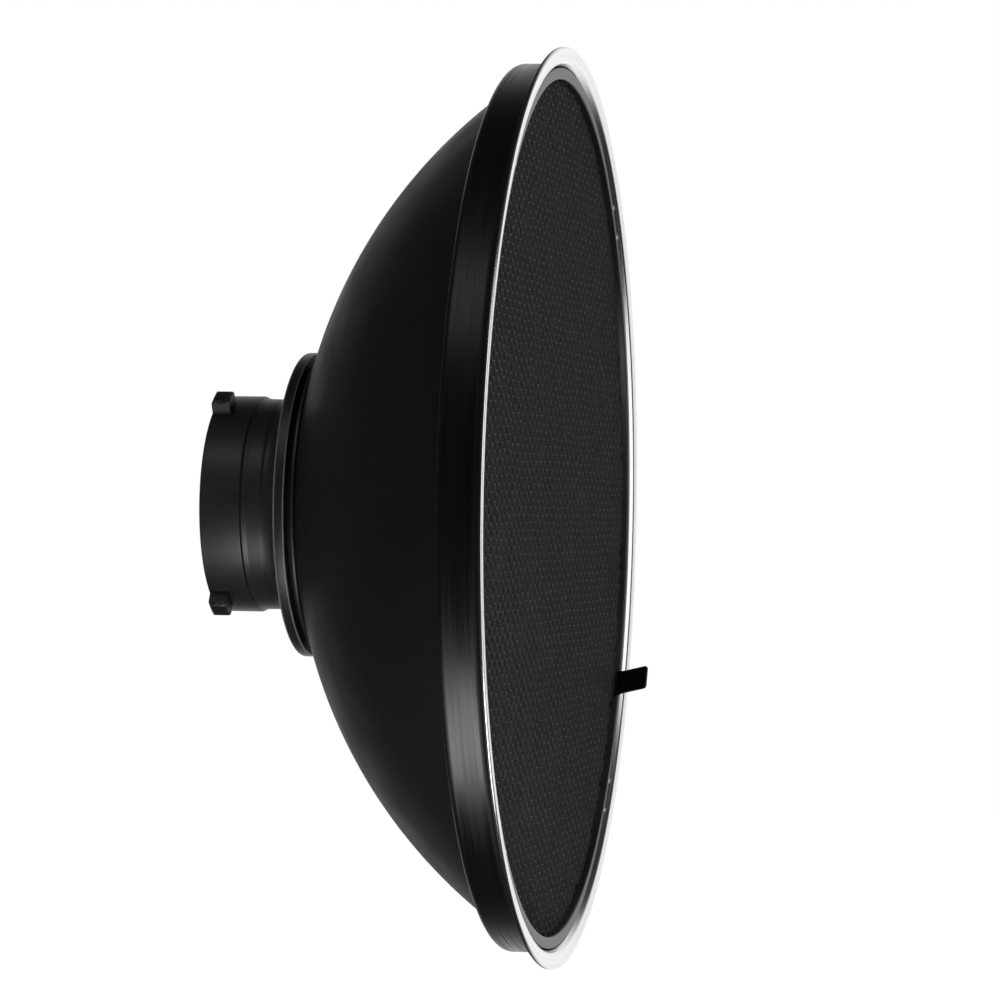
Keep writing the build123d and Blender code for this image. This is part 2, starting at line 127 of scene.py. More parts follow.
def turn(outline, steps=256, startAngle=0.0, sweep=360.0):
    # turns a closed outline of (x, r, wear and highlight weight, material) in millimetres about the X axis
    whole = sweep >= 360
    mesh = bmesh.new()
    wearAndHighlightLayer = mesh.verts.layers.float.new("edgeWearAndRimHighlight")
    rings = []
    for step in range(steps if whole else steps + 1):
        angle = math.radians(startAngle + sweep * step / steps)
        ring = []
        for x, r, wearAndHighlight, _ in outline:
            vert = mesh.verts.new((x * mm, r * mm * math.cos(angle), r * mm * math.sin(angle)))
            vert[wearAndHighlightLayer] = wearAndHighlight
            ring.append(vert)
        rings.append(ring)
    pairs = list(zip(rings, rings[1:] + ([rings[0]] if whole else [])))
    for ring, nextRing in pairs:
        for i in range(len(outline)):
            j = (i + 1) % len(outline)
            face = mesh.faces.new((ring[i], ring[j], nextRing[j], nextRing[i]))
            face.material_index = outline[i][3]
            face.smooth = True
    if not whole:
        mesh.faces.new(rings[0])
        mesh.faces.new(list(reversed(rings[-1])))
    bmesh.ops.remove_doubles(mesh, verts=mesh.verts, dist=0.002 * mm)
    bmesh.ops.recalc_face_normals(mesh, faces=mesh.faces)
    return mesh


def closeBetween(mesh, first, second):
    # two equal loops of vertices become the ends of a solid, with walls between them
    mesh.faces.new(first)
    mesh.faces.new(second[::-1])
    for i in range(len(first)):
        j = (i + 1) % len(first)
        mesh.faces.new((first[i], first[j], second[j], second[i]))
    bmesh.ops.recalc_face_normals(mesh, faces=mesh.faces)


def extrudeAcross(outline, width, angle):
    # an outline of (x, r) points in the plane at that angle, made half the width thick on each side
    mesh = bmesh.new()
    tilt = math.radians(angle)
    outward = Vector((0, math.cos(tilt), math.sin(tilt)))
    across = Vector((0, -math.sin(tilt), math.cos(tilt)))
    sides = []
    for side in (-0.5, 0.5):
        sides.append([
            mesh.verts.new((Vector((x, 0, 0)) + outward * r + across * side * width) * mm)
            for x, r in outline
        ])
    closeBetween(mesh, *sides)
    return mesh


def bevelEdges(mesh, edges, width, segments=3):
    # rounds edges and marks the new faces as rubbed
    cornerWear = mesh.loops.layers.float.get("edgeWearAndRimHighlight") or mesh.loops.layers.float.new("edgeWearAndRimHighlight")
    made = bmesh.ops.bevel(
        mesh, geom=edges, offset=width * mm, segments=segments, profile=0.5, affect="EDGES"
    )
    for face in made["faces"]:
        for loop in face.loops:
            loop[cornerWear] = 1.0


def toObject(name, mesh, materials, sharpAngle=38):
    data = bpy.data.meshes.new(name)
    for face in mesh.faces:
        face.smooth = True
    mesh.to_mesh(data)
    mesh.free()
    for material in materials:
        data.materials.append(material)
    data.set_sharp_from_angle(angle=math.radians(sharpAngle))
    piece = bpy.data.objects.new(name, data)
    bpy.context.scene.collection.objects.link(piece)
    return piece


def bakeModifiers(piece):
    # the evaluated shape becomes a plain mesh, and the modifiers go
    bpy.context.view_layer.update()
    evaluated = piece.evaluated_get(bpy.context.evaluated_depsgraph_get())
    data = bpy.data.meshes.new_from_object(evaluated)
    data.name = piece.name
    piece.modifiers.clear()
    piece.data = data
    return piece


def cutAway(mesh, cutter, operation="DIFFERENCE"):
    # takes the cutter's volume out of a mesh, or keeps only what both share
    body = toObject("cutBody", mesh, [])
    tool = toObject("cutTool", cutter, [])
    boolean = body.modifiers.new("cut", "BOOLEAN")
    boolean.operation = operation
    boolean.solver = "EXACT"
    boolean.object = tool
    bakeModifiers(body)
    result = bmesh.new()
    result.from_mesh(body.data)
    for leftover in (body, tool):
        bpy.data.objects.remove(leftover)
    return result


def joinMeshes(first, *others):
    for other in others:
        data = bpy.data.meshes.new("joining")
        other.to_mesh(data)
        other.free()
        first.from_mesh(data)
        bpy.data.meshes.remove(data)
    return first


def fit(piece, body, slotName, *nodes):
    # the finished piece stands for its CAD nodes and moves with their body
    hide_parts(*nodes)
    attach(piece, body)
    return piece


def turnedPiece(name, corners, steps, material, body, slotName, node, arcSteps=6):
    piece = toObject(name, turn(roundCorners(corners, arcSteps), steps), [material])
    return fit(piece, body, slotName, node)


def setInput(modifier, tree, name, value):
    # modifier inputs are set by identifier, looked up from the name
    for item in tree.interface.items_tree:
        if item.item_type == "SOCKET" and item.in_out == "INPUT" and item.name == name:
            modifier[item.identifier] = value
            return
    raise KeyError(name)


def growWith(piece, tree, **values):
    modifier = piece.modifiers.new("grow", "NODES")
    modifier.node_group = tree
    for name, value in values.items():
        setInput(modifier, tree, name, value)
    return bakeModifiers(piece)


def spunVector(tree, linesPerMillimetre, streaksRound):
    # coordinates that run quickly across a turned surface and slowly round it, as tool marks do
    calc = mathIn(tree)
    place = addNode(tree, "ShaderNodeTexCoord")
    split = addNode(tree, "ShaderNodeSeparateXYZ", {0: place.outputs["Object"]}).outputs
    flat = addNode(tree, "ShaderNodeCombineXYZ", {"Y": split["Y"], "Z": split["Z"]}).outputs[0]
    radius = addNode(tree, "ShaderNodeVectorMath", {0: flat}, operation="LENGTH").outputs["Value"]
    spoke = addNode(tree, "ShaderNodeVectorMath", {0: flat}, operation="NORMALIZE").outputs[0]
    along = calc("MULTIPLY", calc("ADD", split["X"], radius), linesPerMillimetre / mm)
    stretched = addNode(tree, "ShaderNodeVectorMath", {0: spoke, "Scale": streaksRound}, operation="SCALE")
    across = addNode(tree, "ShaderNodeCombineXYZ", {"X": along})
    both = addNode(
        tree, "ShaderNodeVectorMath", {0: stretched.outputs[0], 1: across.outputs[0]}, operation="ADD"
    )
    return both.outputs[0]


def newMaterial(name, colour, roughness, metallic=0.0, **shaderValues):
    material = bpy.data.materials.new(name)
    material.use_nodes = True
    tree = material.node_tree
    tree.nodes.clear()
    output = addNode(tree, "ShaderNodeOutputMaterial")
    shader = addNode(tree, "ShaderNodeBsdfPrincipled", {
        "Base Color": linear(colour), "Roughness": roughness, "Metallic": metallic,
    })
    for socket, value in shaderValues.items():
        shader.inputs[socket.replace("_", " ")].default_value = value
    tree.links.new(shader.outputs[0], output.inputs[0])
    return material, tree, shader


def grain(tree, sizeInMillimetres, detail=2.0, vector=None):
    place = vector or addNode(tree, "ShaderNodeTexCoord").outputs["Object"]
    noise = addNode(tree, "ShaderNodeTexNoise", {
        "Vector": place, "Scale": 1.0 if vector else 1 / (sizeInMillimetres * mm), "Detail": detail,
    })
    return noise.outputs[0]


def ramp(tree, factor, low, high, lowValue, highValue):
    node = addNode(tree, "ShaderNodeMapRange", {
        "Value": factor, "From Min": low, "From Max": high, "To Min": lowValue, "To Max": highValue,
    })
    return node.outputs[0]


def mixColour(tree, factor, first, second):
    node = addNode(tree, "ShaderNodeMix", {0: factor, 6: first, 7: second}, data_type="RGBA")
    return node.outputs[2]


def blendBaseTones(tree, shader, pattern, low, high, dark, light):
    # the base colour is blended between two tones by a pattern: mostly the finish's own drift, but on the
    # flange's rim a painted highlight and on the foil's front edges partly one
    share = ramp(tree, pattern, low, high, 0.0, 1.0)
    tree.links.new(mixColour(tree, share, linear(dark), linear(light)), shader.inputs["Base Color"])


def varyRoughness(tree, shader, pattern, smooth, rough):
    tree.links.new(ramp(tree, pattern, 0.3, 0.7, smooth, rough), shader.inputs["Roughness"])


def addBump(tree, shader, layers):
    # each layer is (height, strength, depth in millimetres)
    normal = None
    for height, strength, depth in layers:
        inputs = {"Height": height, "Strength": strength, "Distance": depth * mm}
        if normal:
            inputs["Normal"] = normal
        normal = addNode(tree, "ShaderNodeBump", inputs).outputs[0]
    tree.links.new(normal, shader.inputs["Normal"])


def rubbedEdges(tree, shader, colour, worn, wornRoughness, roughness, sizeInMillimetres=2.5):
    # where the edge weight attribute is high the finish is rubbed through in patches
    wearAndHighlight = addNode(tree, "ShaderNodeAttribute", attribute_name="edgeWearAndRimHighlight").outputs["Fac"]
    patches = ramp(tree, grain(tree, sizeInMillimetres, 4.0), 0.42, 0.62, 0.0, 1.0)
    amount = mathIn(tree)("MULTIPLY", wearAndHighlight, patches)
    worn, colour = linear(worn), linear(colour)
    tree.links.new(mixColour(tree, amount, colour, worn), shader.inputs["Base Color"])
    tree.links.new(ramp(tree, amount, 0.0, 1.0, roughness, wornRoughness), shader.inputs["Roughness"])


def makeBakedEnamel():
    # baked satin-matt enamel on spun aluminium: soft wide reflections, a fine orange peel,
    # and the spinning lines of the sheet just showing through
    material, tree, shader = newMaterial(
        "bakedBlackEnamel", "#161617", 0.48, IOR=1.5, Specular_IOR_Level=0.42
    )
    cloudy = ramp(tree, grain(tree, 60, 3.0), 0.35, 0.7, 0.0, 1.0)
    dust = ramp(tree, grain(tree, 0.9, 1.0), 0.74, 0.8, 0.0, 0.25)
    base = mixColour(tree, cloudy, linear("#141415"), linear("#1a1a1b"))
    tree.links.new(mixColour(tree, dust, base, linear("#6a6a6c")), shader.inputs["Base Color"])
    varyRoughness(tree, shader, grain(tree, 25, 4.0), 0.44, 0.53)
    addBump(tree, shader, [
        (grain(tree, 1.6, 1.0), 0.10, 0.05),       # orange peel, about 1.6 mm across
        (grain(tree, 1, 2.0, spunVector(tree, 0.45, 3.0)), 0.16, 0.06),      # spinning lines, 2 mm apart
    ])
    return material


def makeBandEnamel():
    # the same enamel on the straight band, rubbed down in the lathe: glossier, with long hair lines
    material, tree, shader = newMaterial("latheRubbedEnamel", "#0f0f10", 0.3, IOR=1.5)
    coarse = grain(tree, 1, 3.0, spunVector(tree, 1.1, 2.2))
    fine = grain(tree, 1, 2.0, spunVector(tree, 3.2, 5.0))
    varyRoughness(tree, shader, coarse, 0.26, 0.42)
    blendBaseTones(tree, shader, fine, 0.45, 0.8, "#0a0a0b", "#161617")
    addBump(tree, shader, [(coarse, 0.22, 0.05), (fine, 0.20, 0.03)])
    return material


def makeSpunAluminium():
    # bare aluminium, spun and polished with fine cloth in the lathe: bright, with concentric lines
    material, tree, shader = newMaterial("spunBareAluminium", "#e6e7e9", 0.22, 1.0)
    lines = grain(tree, 1, 3.0, spunVector(tree, 2.0, 2.0))
    wide = grain(tree, 1, 2.0, spunVector(tree, 0.25, 1.5))
    blendBaseTones(tree, shader, wide, 0.3, 0.7, "#dfe0e3", "#f0f1f2")
    varyRoughness(tree, shader, lines, 0.17, 0.34)
    addBump(tree, shader, [(lines, 0.25, 0.03), (wide, 0.12, 0.08)])
    return material


def makeDeflectorAluminium():
    # pressed aluminium sheet with a light satin polish
    material, tree, shader = newMaterial("satinPressedAluminium", "#cfd0d2", 0.3, 1.0)
    lines = grain(tree, 1, 3.0, spunVector(tree, 1.6, 1.6))
    varyRoughness(tree, shader, lines, 0.24, 0.4)
    addBump(tree, shader, [(lines, 0.25, 0.03)])
    return material


def makeTurnedAnodising():
    # turned aluminium, anodised black: the tool marks show as fine rings
    material, tree, shader = newMaterial("turnedBlackAnodising", "#333336", 0.42, IOR=1.6)
    blendBaseTones(tree, shader, grain(tree, 14.0, 4.0), 0.35, 0.7, "#303033", "#39393c")
    lines = grain(tree, 1, 3.0, spunVector(tree, 2.4, 4.0))
    addBump(tree, shader, [(lines, 0.22, 0.03), (grain(tree, 0.8, 2.0), 0.08, 0.02)])
    return material


def makeFlangeAnodising():
    # the same anodising on the flange, with a painted highlight: a light grey line all round its rounded
    # rim, drawn where the rim fillets' edge weight is high
    material, tree, shader = newMaterial("blackAnodisingPaintedRimHighlight", "#29292b", 0.4, IOR=1.6)
    wearAndHighlight = addNode(tree, "ShaderNodeAttribute", attribute_name="edgeWearAndRimHighlight").outputs["Fac"]
    blendBaseTones(tree, shader, wearAndHighlight, 0.1, 0.8, "#303033", "#b0b1b5")
    lines = grain(tree, 1, 3.0, spunVector(tree, 2.4, 4.0))
    addBump(tree, shader, [(lines, 0.22, 0.03)])
    return material


def makeMattAnodising():
    # matt near-black anodising for the spacer in the recess behind the flange: its near-black colour is
    # painted shade for the dark gap between the bright rims
    material, tree, shader = newMaterial("recessShadeBlackAnodising", "#0b0b0c", 0.7, IOR=1.45)
    addBump(tree, shader, [(grain(tree, 0.5, 2.0), 0.2, 0.02)])
    return material


def makeLugAnodising():
    # machined and bead-blasted lugs, anodised black, with the corners rubbed by the lamp's ring
    material, tree, shader = newMaterial("blastedBlackAnodising", "#1b1b1c", 0.45, IOR=1.6)
    rubbedEdges(tree, shader, "#222224", "#5c5d60", 0.4, 0.46, 1.6)
    addBump(tree, shader, [(grain(tree, 0.5, 2.0), 0.3, 0.03)])
    return material


def makeHoopEnamel():
    # rolled strip under thin satin lacquer, greyer than the bowl and lightly scratched along its length
    material, tree, shader = newMaterial("lacqueredHoopStrip", "#2b2b2d", 0.36, IOR=1.5)
    blendBaseTones(tree, shader, grain(tree, 30.0, 4.0), 0.35, 0.7, "#29292b", "#323234")
    lines = grain(tree, 1, 3.0, spunVector(tree, 1.6, 3.0))
    addBump(tree, shader, [(lines, 0.2, 0.03), (grain(tree, 1.2, 2.0), 0.08, 0.02)])
    return material


def makeFoil(frontX):
    # expanded aluminium foil honeycomb, dyed black; its front edges are lightened in patches, partly for dye
    # lost at the sawn edges and partly as a painted highlight for their glints
    material, tree, shader = newMaterial(
        "dyedHoneycombFoil", "#505054", 0.55, IOR=1.5, Specular_IOR_Level=0.22
    )
    place = addNode(tree, "ShaderNodeTexCoord").outputs["Object"]
    across = addNode(tree, "ShaderNodeSeparateXYZ", {0: place}).outputs["X"]
    # painted highlight, partly dye loss: the walls go lighter over their last 0.35 mm towards the front
    frontEdgeWearAndGlint = ramp(tree, across, (frontX - 0.35) * mm, (frontX - 0.1) * mm, 0.0, 1.0)
    patches = ramp(tree, grain(tree, 9.0, 5.0), 0.35, 0.7, 0.15, 1.0)
    amount = mathIn(tree)("MULTIPLY", frontEdgeWearAndGlint, patches)
    blendBaseTones(tree, shader, amount, 0.0, 1.0, "#505054", "#626266")
    varyRoughness(tree, shader, grain(tree, 3.0, 3.0), 0.48, 0.62)
    addBump(tree, shader, [(grain(tree, 2.2, 2.0), 0.3, 0.1)])      # dented foil
    return material


def makeZincSteel():
    # zinc-plated steel: pale and slightly blue, with a crystalline cloudiness
    material, tree, shader = newMaterial("zincPlatedSteel", "#b9bcc2", 0.34, 1.0)
    blendBaseTones(tree, shader, grain(tree, 1.5, 4.0), 0.35, 0.65, "#a9adb5", "#c9ccd2")
    varyRoughness(tree, shader, grain(tree, 0.7, 3.0), 0.26, 0.42)
    return material


def makeSpringSteel():
    # blued spring strip, ground lengthwise, with bright edges
    material, tree, shader = newMaterial("groundSpringSteel", "#6f7175", 0.32, 1.0)
    rubbedEdges(tree, shader, "#6a6c71", "#b4b6ba", 0.25, 0.33)
    addBump(tree, shader, [(grain(tree, 0.4, 2.0), 0.1, 0.02)])
    return material


def makeRivetAluminium():
    # cold-headed soft aluminium: bright, with small dents from the rivet set
    material, tree, shader = newMaterial("coldHeadedAluminium", "#d6d8dc", 0.28, 1.0)
    varyRoughness(tree, shader, grain(tree, 0.8, 3.0), 0.2, 0.4)
    addBump(tree, shader, [(grain(tree, 0.9, 2.0), 0.25, 0.04)])
    return material


def makeBlackOxide():
    # heat-treated steel screws with black oxide and a trace of oil
    material, tree, shader = newMaterial("blackOxideSteel", "#232326", 0.33, 0.6)
    blendBaseTones(tree, shader, grain(tree, 0.9, 3.0), 0.35, 0.65, "#1d1d20", "#2f2f33")
    varyRoughness(tree, shader, grain(tree, 0.6, 2.0), 0.26, 0.42)
    return material


def makeNylon():
    # turned natural nylon: milky, with a soft sheen
    material, tree, shader = newMaterial(
        "naturalNylon", "#e4e0d4", 0.45, IOR=1.53, Subsurface_Weight=0.15, Subsurface_Scale=1.0 * mm
    )
    addBump(tree, shader, [(grain(tree, 1, 2.0, spunVector(tree, 3.0, 3.0)), 0.15, 0.02)])
    return material


def makeTabPlastic():
    # moulded black polypropylene strip with a fine spark-eroded grain
    material, tree, shader = newMaterial("mouldedBlackPolypropylene", "#121214", 0.42, IOR=1.49)
    blendBaseTones(tree, shader, grain(tree, 4.0, 3.0), 0.35, 0.65, "#101012", "#18181a")
    addBump(tree, shader, [(grain(tree, 0.35, 2.0), 0.25, 0.03)])
    return material


enamel = makeBakedEnamel()
bandEnamel = makeBandEnamel()
spunAluminium = makeSpunAluminium()
pressedAluminium = makeDeflectorAluminium()
turnedAnodising = makeTurnedAnodising()
flangeAnodising = makeFlangeAnodising()
mattAnodising = makeMattAnodising()
lugAnodising = makeLugAnodising()
hoopEnamel = makeHoopEnamel()
zincSteel = makeZincSteel()
springSteel = makeSpringSteel()
rivetAluminium = makeRivetAluminium()
blackOxide = makeBlackOxide()
nylon = makeNylon()
tabPlastic = makeTabPlastic()
print("materials made")


def makeRingTree():
    # copies of the shape stand round the X axis, at stations that may hold several copies each
    tree = bpy.data.node_groups.new("ringOfCopies", "GeometryNodeTree")
    face = tree.interface
    face.new_socket("Shape", in_out="INPUT", socket_type="NodeSocketGeometry")
    face.new_socket("Stations", in_out="INPUT", socket_type="NodeSocketInt")
    face.new_socket("Per Station", in_out="INPUT", socket_type="NodeSocketInt")
    for name in ("Spread", "First Angle", "Circle Radius", "Along Axis"):
        face.new_socket(name, in_out="INPUT", socket_type="NodeSocketFloat")
    face.new_socket("Material", in_out="INPUT", socket_type="NodeSocketMaterial")
    face.new_socket("Copies", in_out="OUTPUT", socket_type="NodeSocketGeometry")
    given = addNode(tree, "NodeGroupInput").outputs
    index = addNode(tree, "GeometryNodeInputIndex").outputs[0]
    calc = mathIn(tree)
    total = calc("MULTIPLY", given["Stations"], given["Per Station"])
    station = calc("FLOOR", calc("DIVIDE", index, given["Per Station"]))
    member = calc("MODULO", index, given["Per Station"])
    middle = calc("DIVIDE", calc("SUBTRACT", given["Per Station"], 1.0), 2.0)
    offset = calc("MULTIPLY", calc("SUBTRACT", member, middle), given["Spread"])
    stationAngle = calc("MULTIPLY", station, calc("DIVIDE", 360.0, given["Stations"]))
    degrees = calc("ADD", calc("ADD", stationAngle, given["First Angle"]), offset)
    angle = calc("RADIANS", degrees)
    place = addNode(tree, "ShaderNodeCombineXYZ", {
        "X": given["Along Axis"],
        "Y": calc("MULTIPLY", given["Circle Radius"], calc("COSINE", angle)),
        "Z": calc("MULTIPLY", given["Circle Radius"], calc("SINE", angle)),
    })
    turned = addNode(tree, "ShaderNodeCombineXYZ", {"X": angle})
    points = addNode(tree, "GeometryNodePoints", {"Count": total, "Position": place.outputs[0]})
    copies = addNode(tree, "GeometryNodeInstanceOnPoints", {
        "Points": points.outputs[0], "Instance": given["Shape"], "Rotation": turned.outputs[0],
    })
    real = addNode(tree, "GeometryNodeRealizeInstances", {0: copies.outputs[0]})
    painted = addNode(tree, "GeometryNodeSetMaterial", {0: real.outputs[0], "Material": given["Material"]})
    addNode(tree, "NodeGroupOutput", {0: painted.outputs[0]})
    return tree


ringTree = makeRingTree()


def ringOf(name, shape, material, x, radius, firstAngle, stations=1, perStation=1, spread=0.0):
    # the shape is modelled at the origin with +X forward and +Y outward
    piece = toObject(name, shape, [material])
    return growWith(piece, ringTree, **{
        "Stations": stations, "Per Station": perStation, "Spread": spread, "First Angle": firstAngle,
        "Circle Radius": radius * mm, "Along Axis": x * mm, "Material": material,
    })


def makeHoneycombTree():
    # a lattice of cells; each brings three of the walls it shares with its neighbours
    tree = bpy.data.node_groups.new("honeycombCore", "GeometryNodeTree")
    face = tree.interface
    face.new_socket("Start", in_out="INPUT", socket_type="NodeSocketGeometry")
    face.new_socket("Rows", in_out="INPUT", socket_type="NodeSocketInt")
    for name in (
        "Core Radius", "Cell Pitch", "Wall", "Glued Wall", "Rear", "Depth", "Waviness", "Wave Length",
        "Notch Angle", "Notch Half Width", "Notch Depth", "Seed",
    ):
        face.new_socket(name, in_out="INPUT", socket_type="NodeSocketFloat")
    face.new_socket("Material", in_out="INPUT", socket_type="NodeSocketMaterial")
    face.new_socket("Core", in_out="OUTPUT", socket_type="NodeSocketGeometry")
    given = addNode(tree, "NodeGroupInput").outputs
    calc = mathIn(tree)

    def vector(x=0.0, y=0.0, z=0.0):
        return addNode(tree, "ShaderNodeCombineXYZ", {"X": x, "Y": y, "Z": z}).outputs[0]

    # cell centres
    index = addNode(tree, "GeometryNodeInputIndex").outputs[0]
    halfRows = calc("FLOOR", calc("DIVIDE", given["Rows"], 2.0))
    column = calc("SUBTRACT", calc("FLOOR", calc("DIVIDE", index, given["Rows"])), halfRows)
    row = calc("SUBTRACT", calc("MODULO", index, given["Rows"]), halfRows)
    odd = calc("MODULO", calc("ABSOLUTE", column), 2.0)
    centreY = calc("MULTIPLY", column, calc("MULTIPLY", given["Cell Pitch"], math.sqrt(3) / 2))
    centreZ = calc("MULTIPLY", calc("ADD", row, calc("MULTIPLY", odd, 0.5)), given["Cell Pitch"])
    cells = addNode(tree, "GeometryNodePoints", {
        "Count": calc("MULTIPLY", given["Rows"], given["Rows"]), "Position": vector(0.0, centreY, centreZ),
    })
    place = addNode(tree, "GeometryNodeInputPosition").outputs[0]
    distance = addNode(tree, "ShaderNodeVectorMath", {0: place}, operation="LENGTH").outputs["Value"]
    limit = calc("ADD", given["Core Radius"], calc("MULTIPLY", given["Cell Pitch"], 0.35))
    outside = addNode(tree, "FunctionNodeCompare", {0: distance, 1: limit}, operation="GREATER_THAN")
    kept = addNode(tree, "GeometryNodeDeleteGeometry", {0: cells.outputs[0], 1: outside.outputs[0]})

    # the three walls of a cell, of which the flat one is two foils glued together
    halfWall = calc("MULTIPLY", given["Wall"], 0.5)
    side = calc("ADD", calc("DIVIDE", given["Cell Pitch"], math.sqrt(3)), halfWall)
    middleX = calc("ADD", given["Rear"], calc("MULTIPLY", given["Depth"], 0.5))
    walls = addNode(tree, "GeometryNodeJoinGeometry")
    for degrees, thickness in ((30, "Wall"), (90, "Glued Wall"), (150, "Wall")):
        box = addNode(tree, "GeometryNodeMeshCube", {
            "Size": vector(given["Depth"], given[thickness], side),
        })
        angle = math.radians(degrees)
        half = calc("MULTIPLY", given["Cell Pitch"], 0.5)
        moved = addNode(tree, "GeometryNodeTransform", {
            "Geometry": box.outputs[0],
            "Translation": vector(
                middleX, calc("MULTIPLY", half, math.cos(angle)), calc("MULTIPLY", half, math.sin(angle))
            ),
            "Rotation": (angle, 0, 0),
        })
        tree.links.new(moved.outputs[0], walls.inputs[0])
    copies = addNode(tree, "GeometryNodeInstanceOnPoints", {
        "Points": kept.outputs[0], "Instance": walls.outputs[0],
    })
    real = addNode(tree, "GeometryNodeRealizeInstances", {0: copies.outputs[0]})

    # hand-stretched foil is never quite even
    flatten = addNode(tree, "ShaderNodeVectorMath", {0: place, 1: (0.15, 1, 1)}, operation="MULTIPLY")
    noise = addNode(tree, "ShaderNodeTexNoise", {
        "Vector": flatten.outputs[0], "W": given["Seed"],
        "Scale": calc("DIVIDE", 1.0, given["Wave Length"]), "Detail": 2.0,
    }, noise_dimensions="4D")
    centred = addNode(
        tree, "ShaderNodeVectorMath", {0: noise.outputs["Color"], 1: (0.5, 0.5, 0.5)}, operation="SUBTRACT"
    )
    stretch = vector(calc("MULTIPLY", given["Waviness"], 0.2), given["Waviness"], given["Waviness"])
    shift = addNode(tree, "ShaderNodeVectorMath", {0: centred.outputs[0], 1: stretch}, operation="MULTIPLY")
    waved = addNode(tree, "GeometryNodeSetPosition", {
        "Geometry": real.outputs[0], "Offset": shift.outputs[0],
    })

    # trimmed to the hoop, and cut back where the tab's anchor passes
    spot = addNode(tree, "ShaderNodeSeparateXYZ", {0: place}).outputs
    radius = addNode(
        tree, "ShaderNodeVectorMath", {0: vector(0.0, spot["Y"], spot["Z"])}, operation="LENGTH"
    ).outputs["Value"]
    around = calc("ARCTAN2", spot["Z"], spot["Y"])
    gap = calc("ABSOLUTE", calc("SUBTRACT", around, calc("RADIANS", given["Notch Angle"])))
    inNotch = calc("LESS_THAN", gap, calc("RADIANS", given["Notch Half Width"]))
    allowed = calc("SUBTRACT", given["Core Radius"], calc("MULTIPLY", inNotch, given["Notch Depth"]))
    share = calc("MINIMUM", 1.0, calc("DIVIDE", allowed, radius))
    trimmed = addNode(tree, "GeometryNodeSetPosition", {
        "Geometry": waved.outputs[0],
        "Position": vector(
            spot["X"], calc("MULTIPLY", spot["Y"], share), calc("MULTIPLY", spot["Z"], share)
        ),
    })
    painted = addNode(tree, "GeometryNodeSetMaterial", {
        0: trimmed.outputs[0], "Material": given["Material"],
    })
    addNode(tree, "NodeGroupOutput", {0: painted.outputs[0]})
    return tree


print("node trees built")


bowlRearX, lipX, lipRadius = reachOf("reflector_bowl")
sheet = 1.5
shell = {
    "bandRadius": 202.5,
    "bandRearX": 139.4,        # the step between bowl and band
    "bowlArcCentre": (269.0, 3.0),
    "bowlArcRadius": 229.9,
    "rearHole": 50.5,
    "hemDepth": 2.2,
    "lipInnerRadius": 203.6,
    "hemFrontRound": 0.7,      # bare, like the face: the enamel stops at the hem's outer edge
    "stepRound": 3.0,
    "stepInnerRound": 1.6,     # crease where the bowl meets the step
    "flareOutside": 3.4,
    "flareInside": 2.6,
    "seatRound": 2.5,
}
shellSteps = 288


def bowlRadiusAt(x, radius):
    centreX, centreR = shell["bowlArcCentre"]
    return centreR + math.sqrt(radius ** 2 - (x - centreX) ** 2)


def makeShell():
    paint, rubbed, bare = 0, 1, 2
    band, hem = shell["bandRadius"], shell["hemDepth"]
    outerArc = shell["bowlArcRadius"]
    innerArc = outerArc - sheet
    stepX = shell["bandRearX"]
    seat = (bowlRearX, bowlRadiusAt(bowlRearX, outerArc))
    crease = (stepX, bowlRadiusAt(stepX, outerArc))
    seatIn = (bowlRearX + sheet, bowlRadiusAt(bowlRearX + sheet, innerArc))
    creaseIn = (stepX + sheet, bowlRadiusAt(stepX + sheet, innerArc))
    bandIn = band - sheet
    hemRear = lipX - hem
    corners = [
        (bowlRearX, shell["rearHole"], 0.3, paint),
        (seat[0], seat[1], 0, paint),
        *arcRun(seat, crease, outerArc, 44, paint),
        (crease[0], crease[1], 0, paint),
        (stepX, band, shell["stepRound"], rubbed),
        (hemRear, band, shell["flareOutside"], paint),
        (hemRear, lipRadius, hem * 0.42, paint),
        (lipX, lipRadius, shell["hemFrontRound"], bare),
        (lipX - 0.7, shell["lipInnerRadius"] - 0.9, 1.6, bare),
        (lipX - 3.9, bandIn, 1.6, bare),
        (stepX + sheet, bandIn, shell["stepRound"] - sheet, bare),
        (creaseIn[0], creaseIn[1], 0, bare),
        *arcRun(creaseIn, seatIn, -innerArc, 44, bare),
        (seatIn[0], seatIn[1], 0, bare),
        (bowlRearX + sheet, shell["rearHole"], 0.3, bare),
    ]
    mesh = turn(roundCorners(corners), shellSteps)
    piece = toObject("reflectorShell", mesh, [enamel, bandEnamel, spunAluminium], 30)
    fit(piece, "dish", "painted_shell", "reflector_bowl")


makeShell()
print("shell turned")


tube = {
    "radius": reachOf("bayonet_tube")[2], "wall": 2.4, "spigot": 48.2, "edge": 0.45, "frontRound": 1.0,
    "shoulderX": reachOf("neck_collar")[0] - 0.05,
}
collar = {
    "socket": 48.25, "socketEndX": 27.5, "bore": 47.3, "rearRadius": 49.2,
    "waistX": 21.4, "waist": 48.7, "creaseX": 29.0, "crease": 48.05,      # the crease before the bell
}
flange = {"rearRound": 1.3, "frontRound": 0.8}
rearRings = {"neck_spacer": 0.35, "seat_ring": 0.45, "clamp_ring": 0.45}       # edge rounding
seatStep = {"width": 1.5, "radius": 66.0}      # the seat ring is turned down next to the bowl


def makeTube():
    rearX, frontX, radius = reachOf("bayonet_tube")
    bore = radius - tube["wall"]
    corners = [
        (rearX, bore, tube["edge"], 0),
        (rearX, radius, tube["edge"], 0),
        (tube["shoulderX"], radius, tube["frontRound"], 0),
        (tube["shoulderX"], tube["spigot"], 0, 0),
        (frontX, tube["spigot"], 0.3, 0),
        (frontX, bore, 0.3, 0),
    ]
    turnedPiece("bayonetTube", corners, 160, turnedAnodising, "dish", "black_anodised", "bayonet_tube")


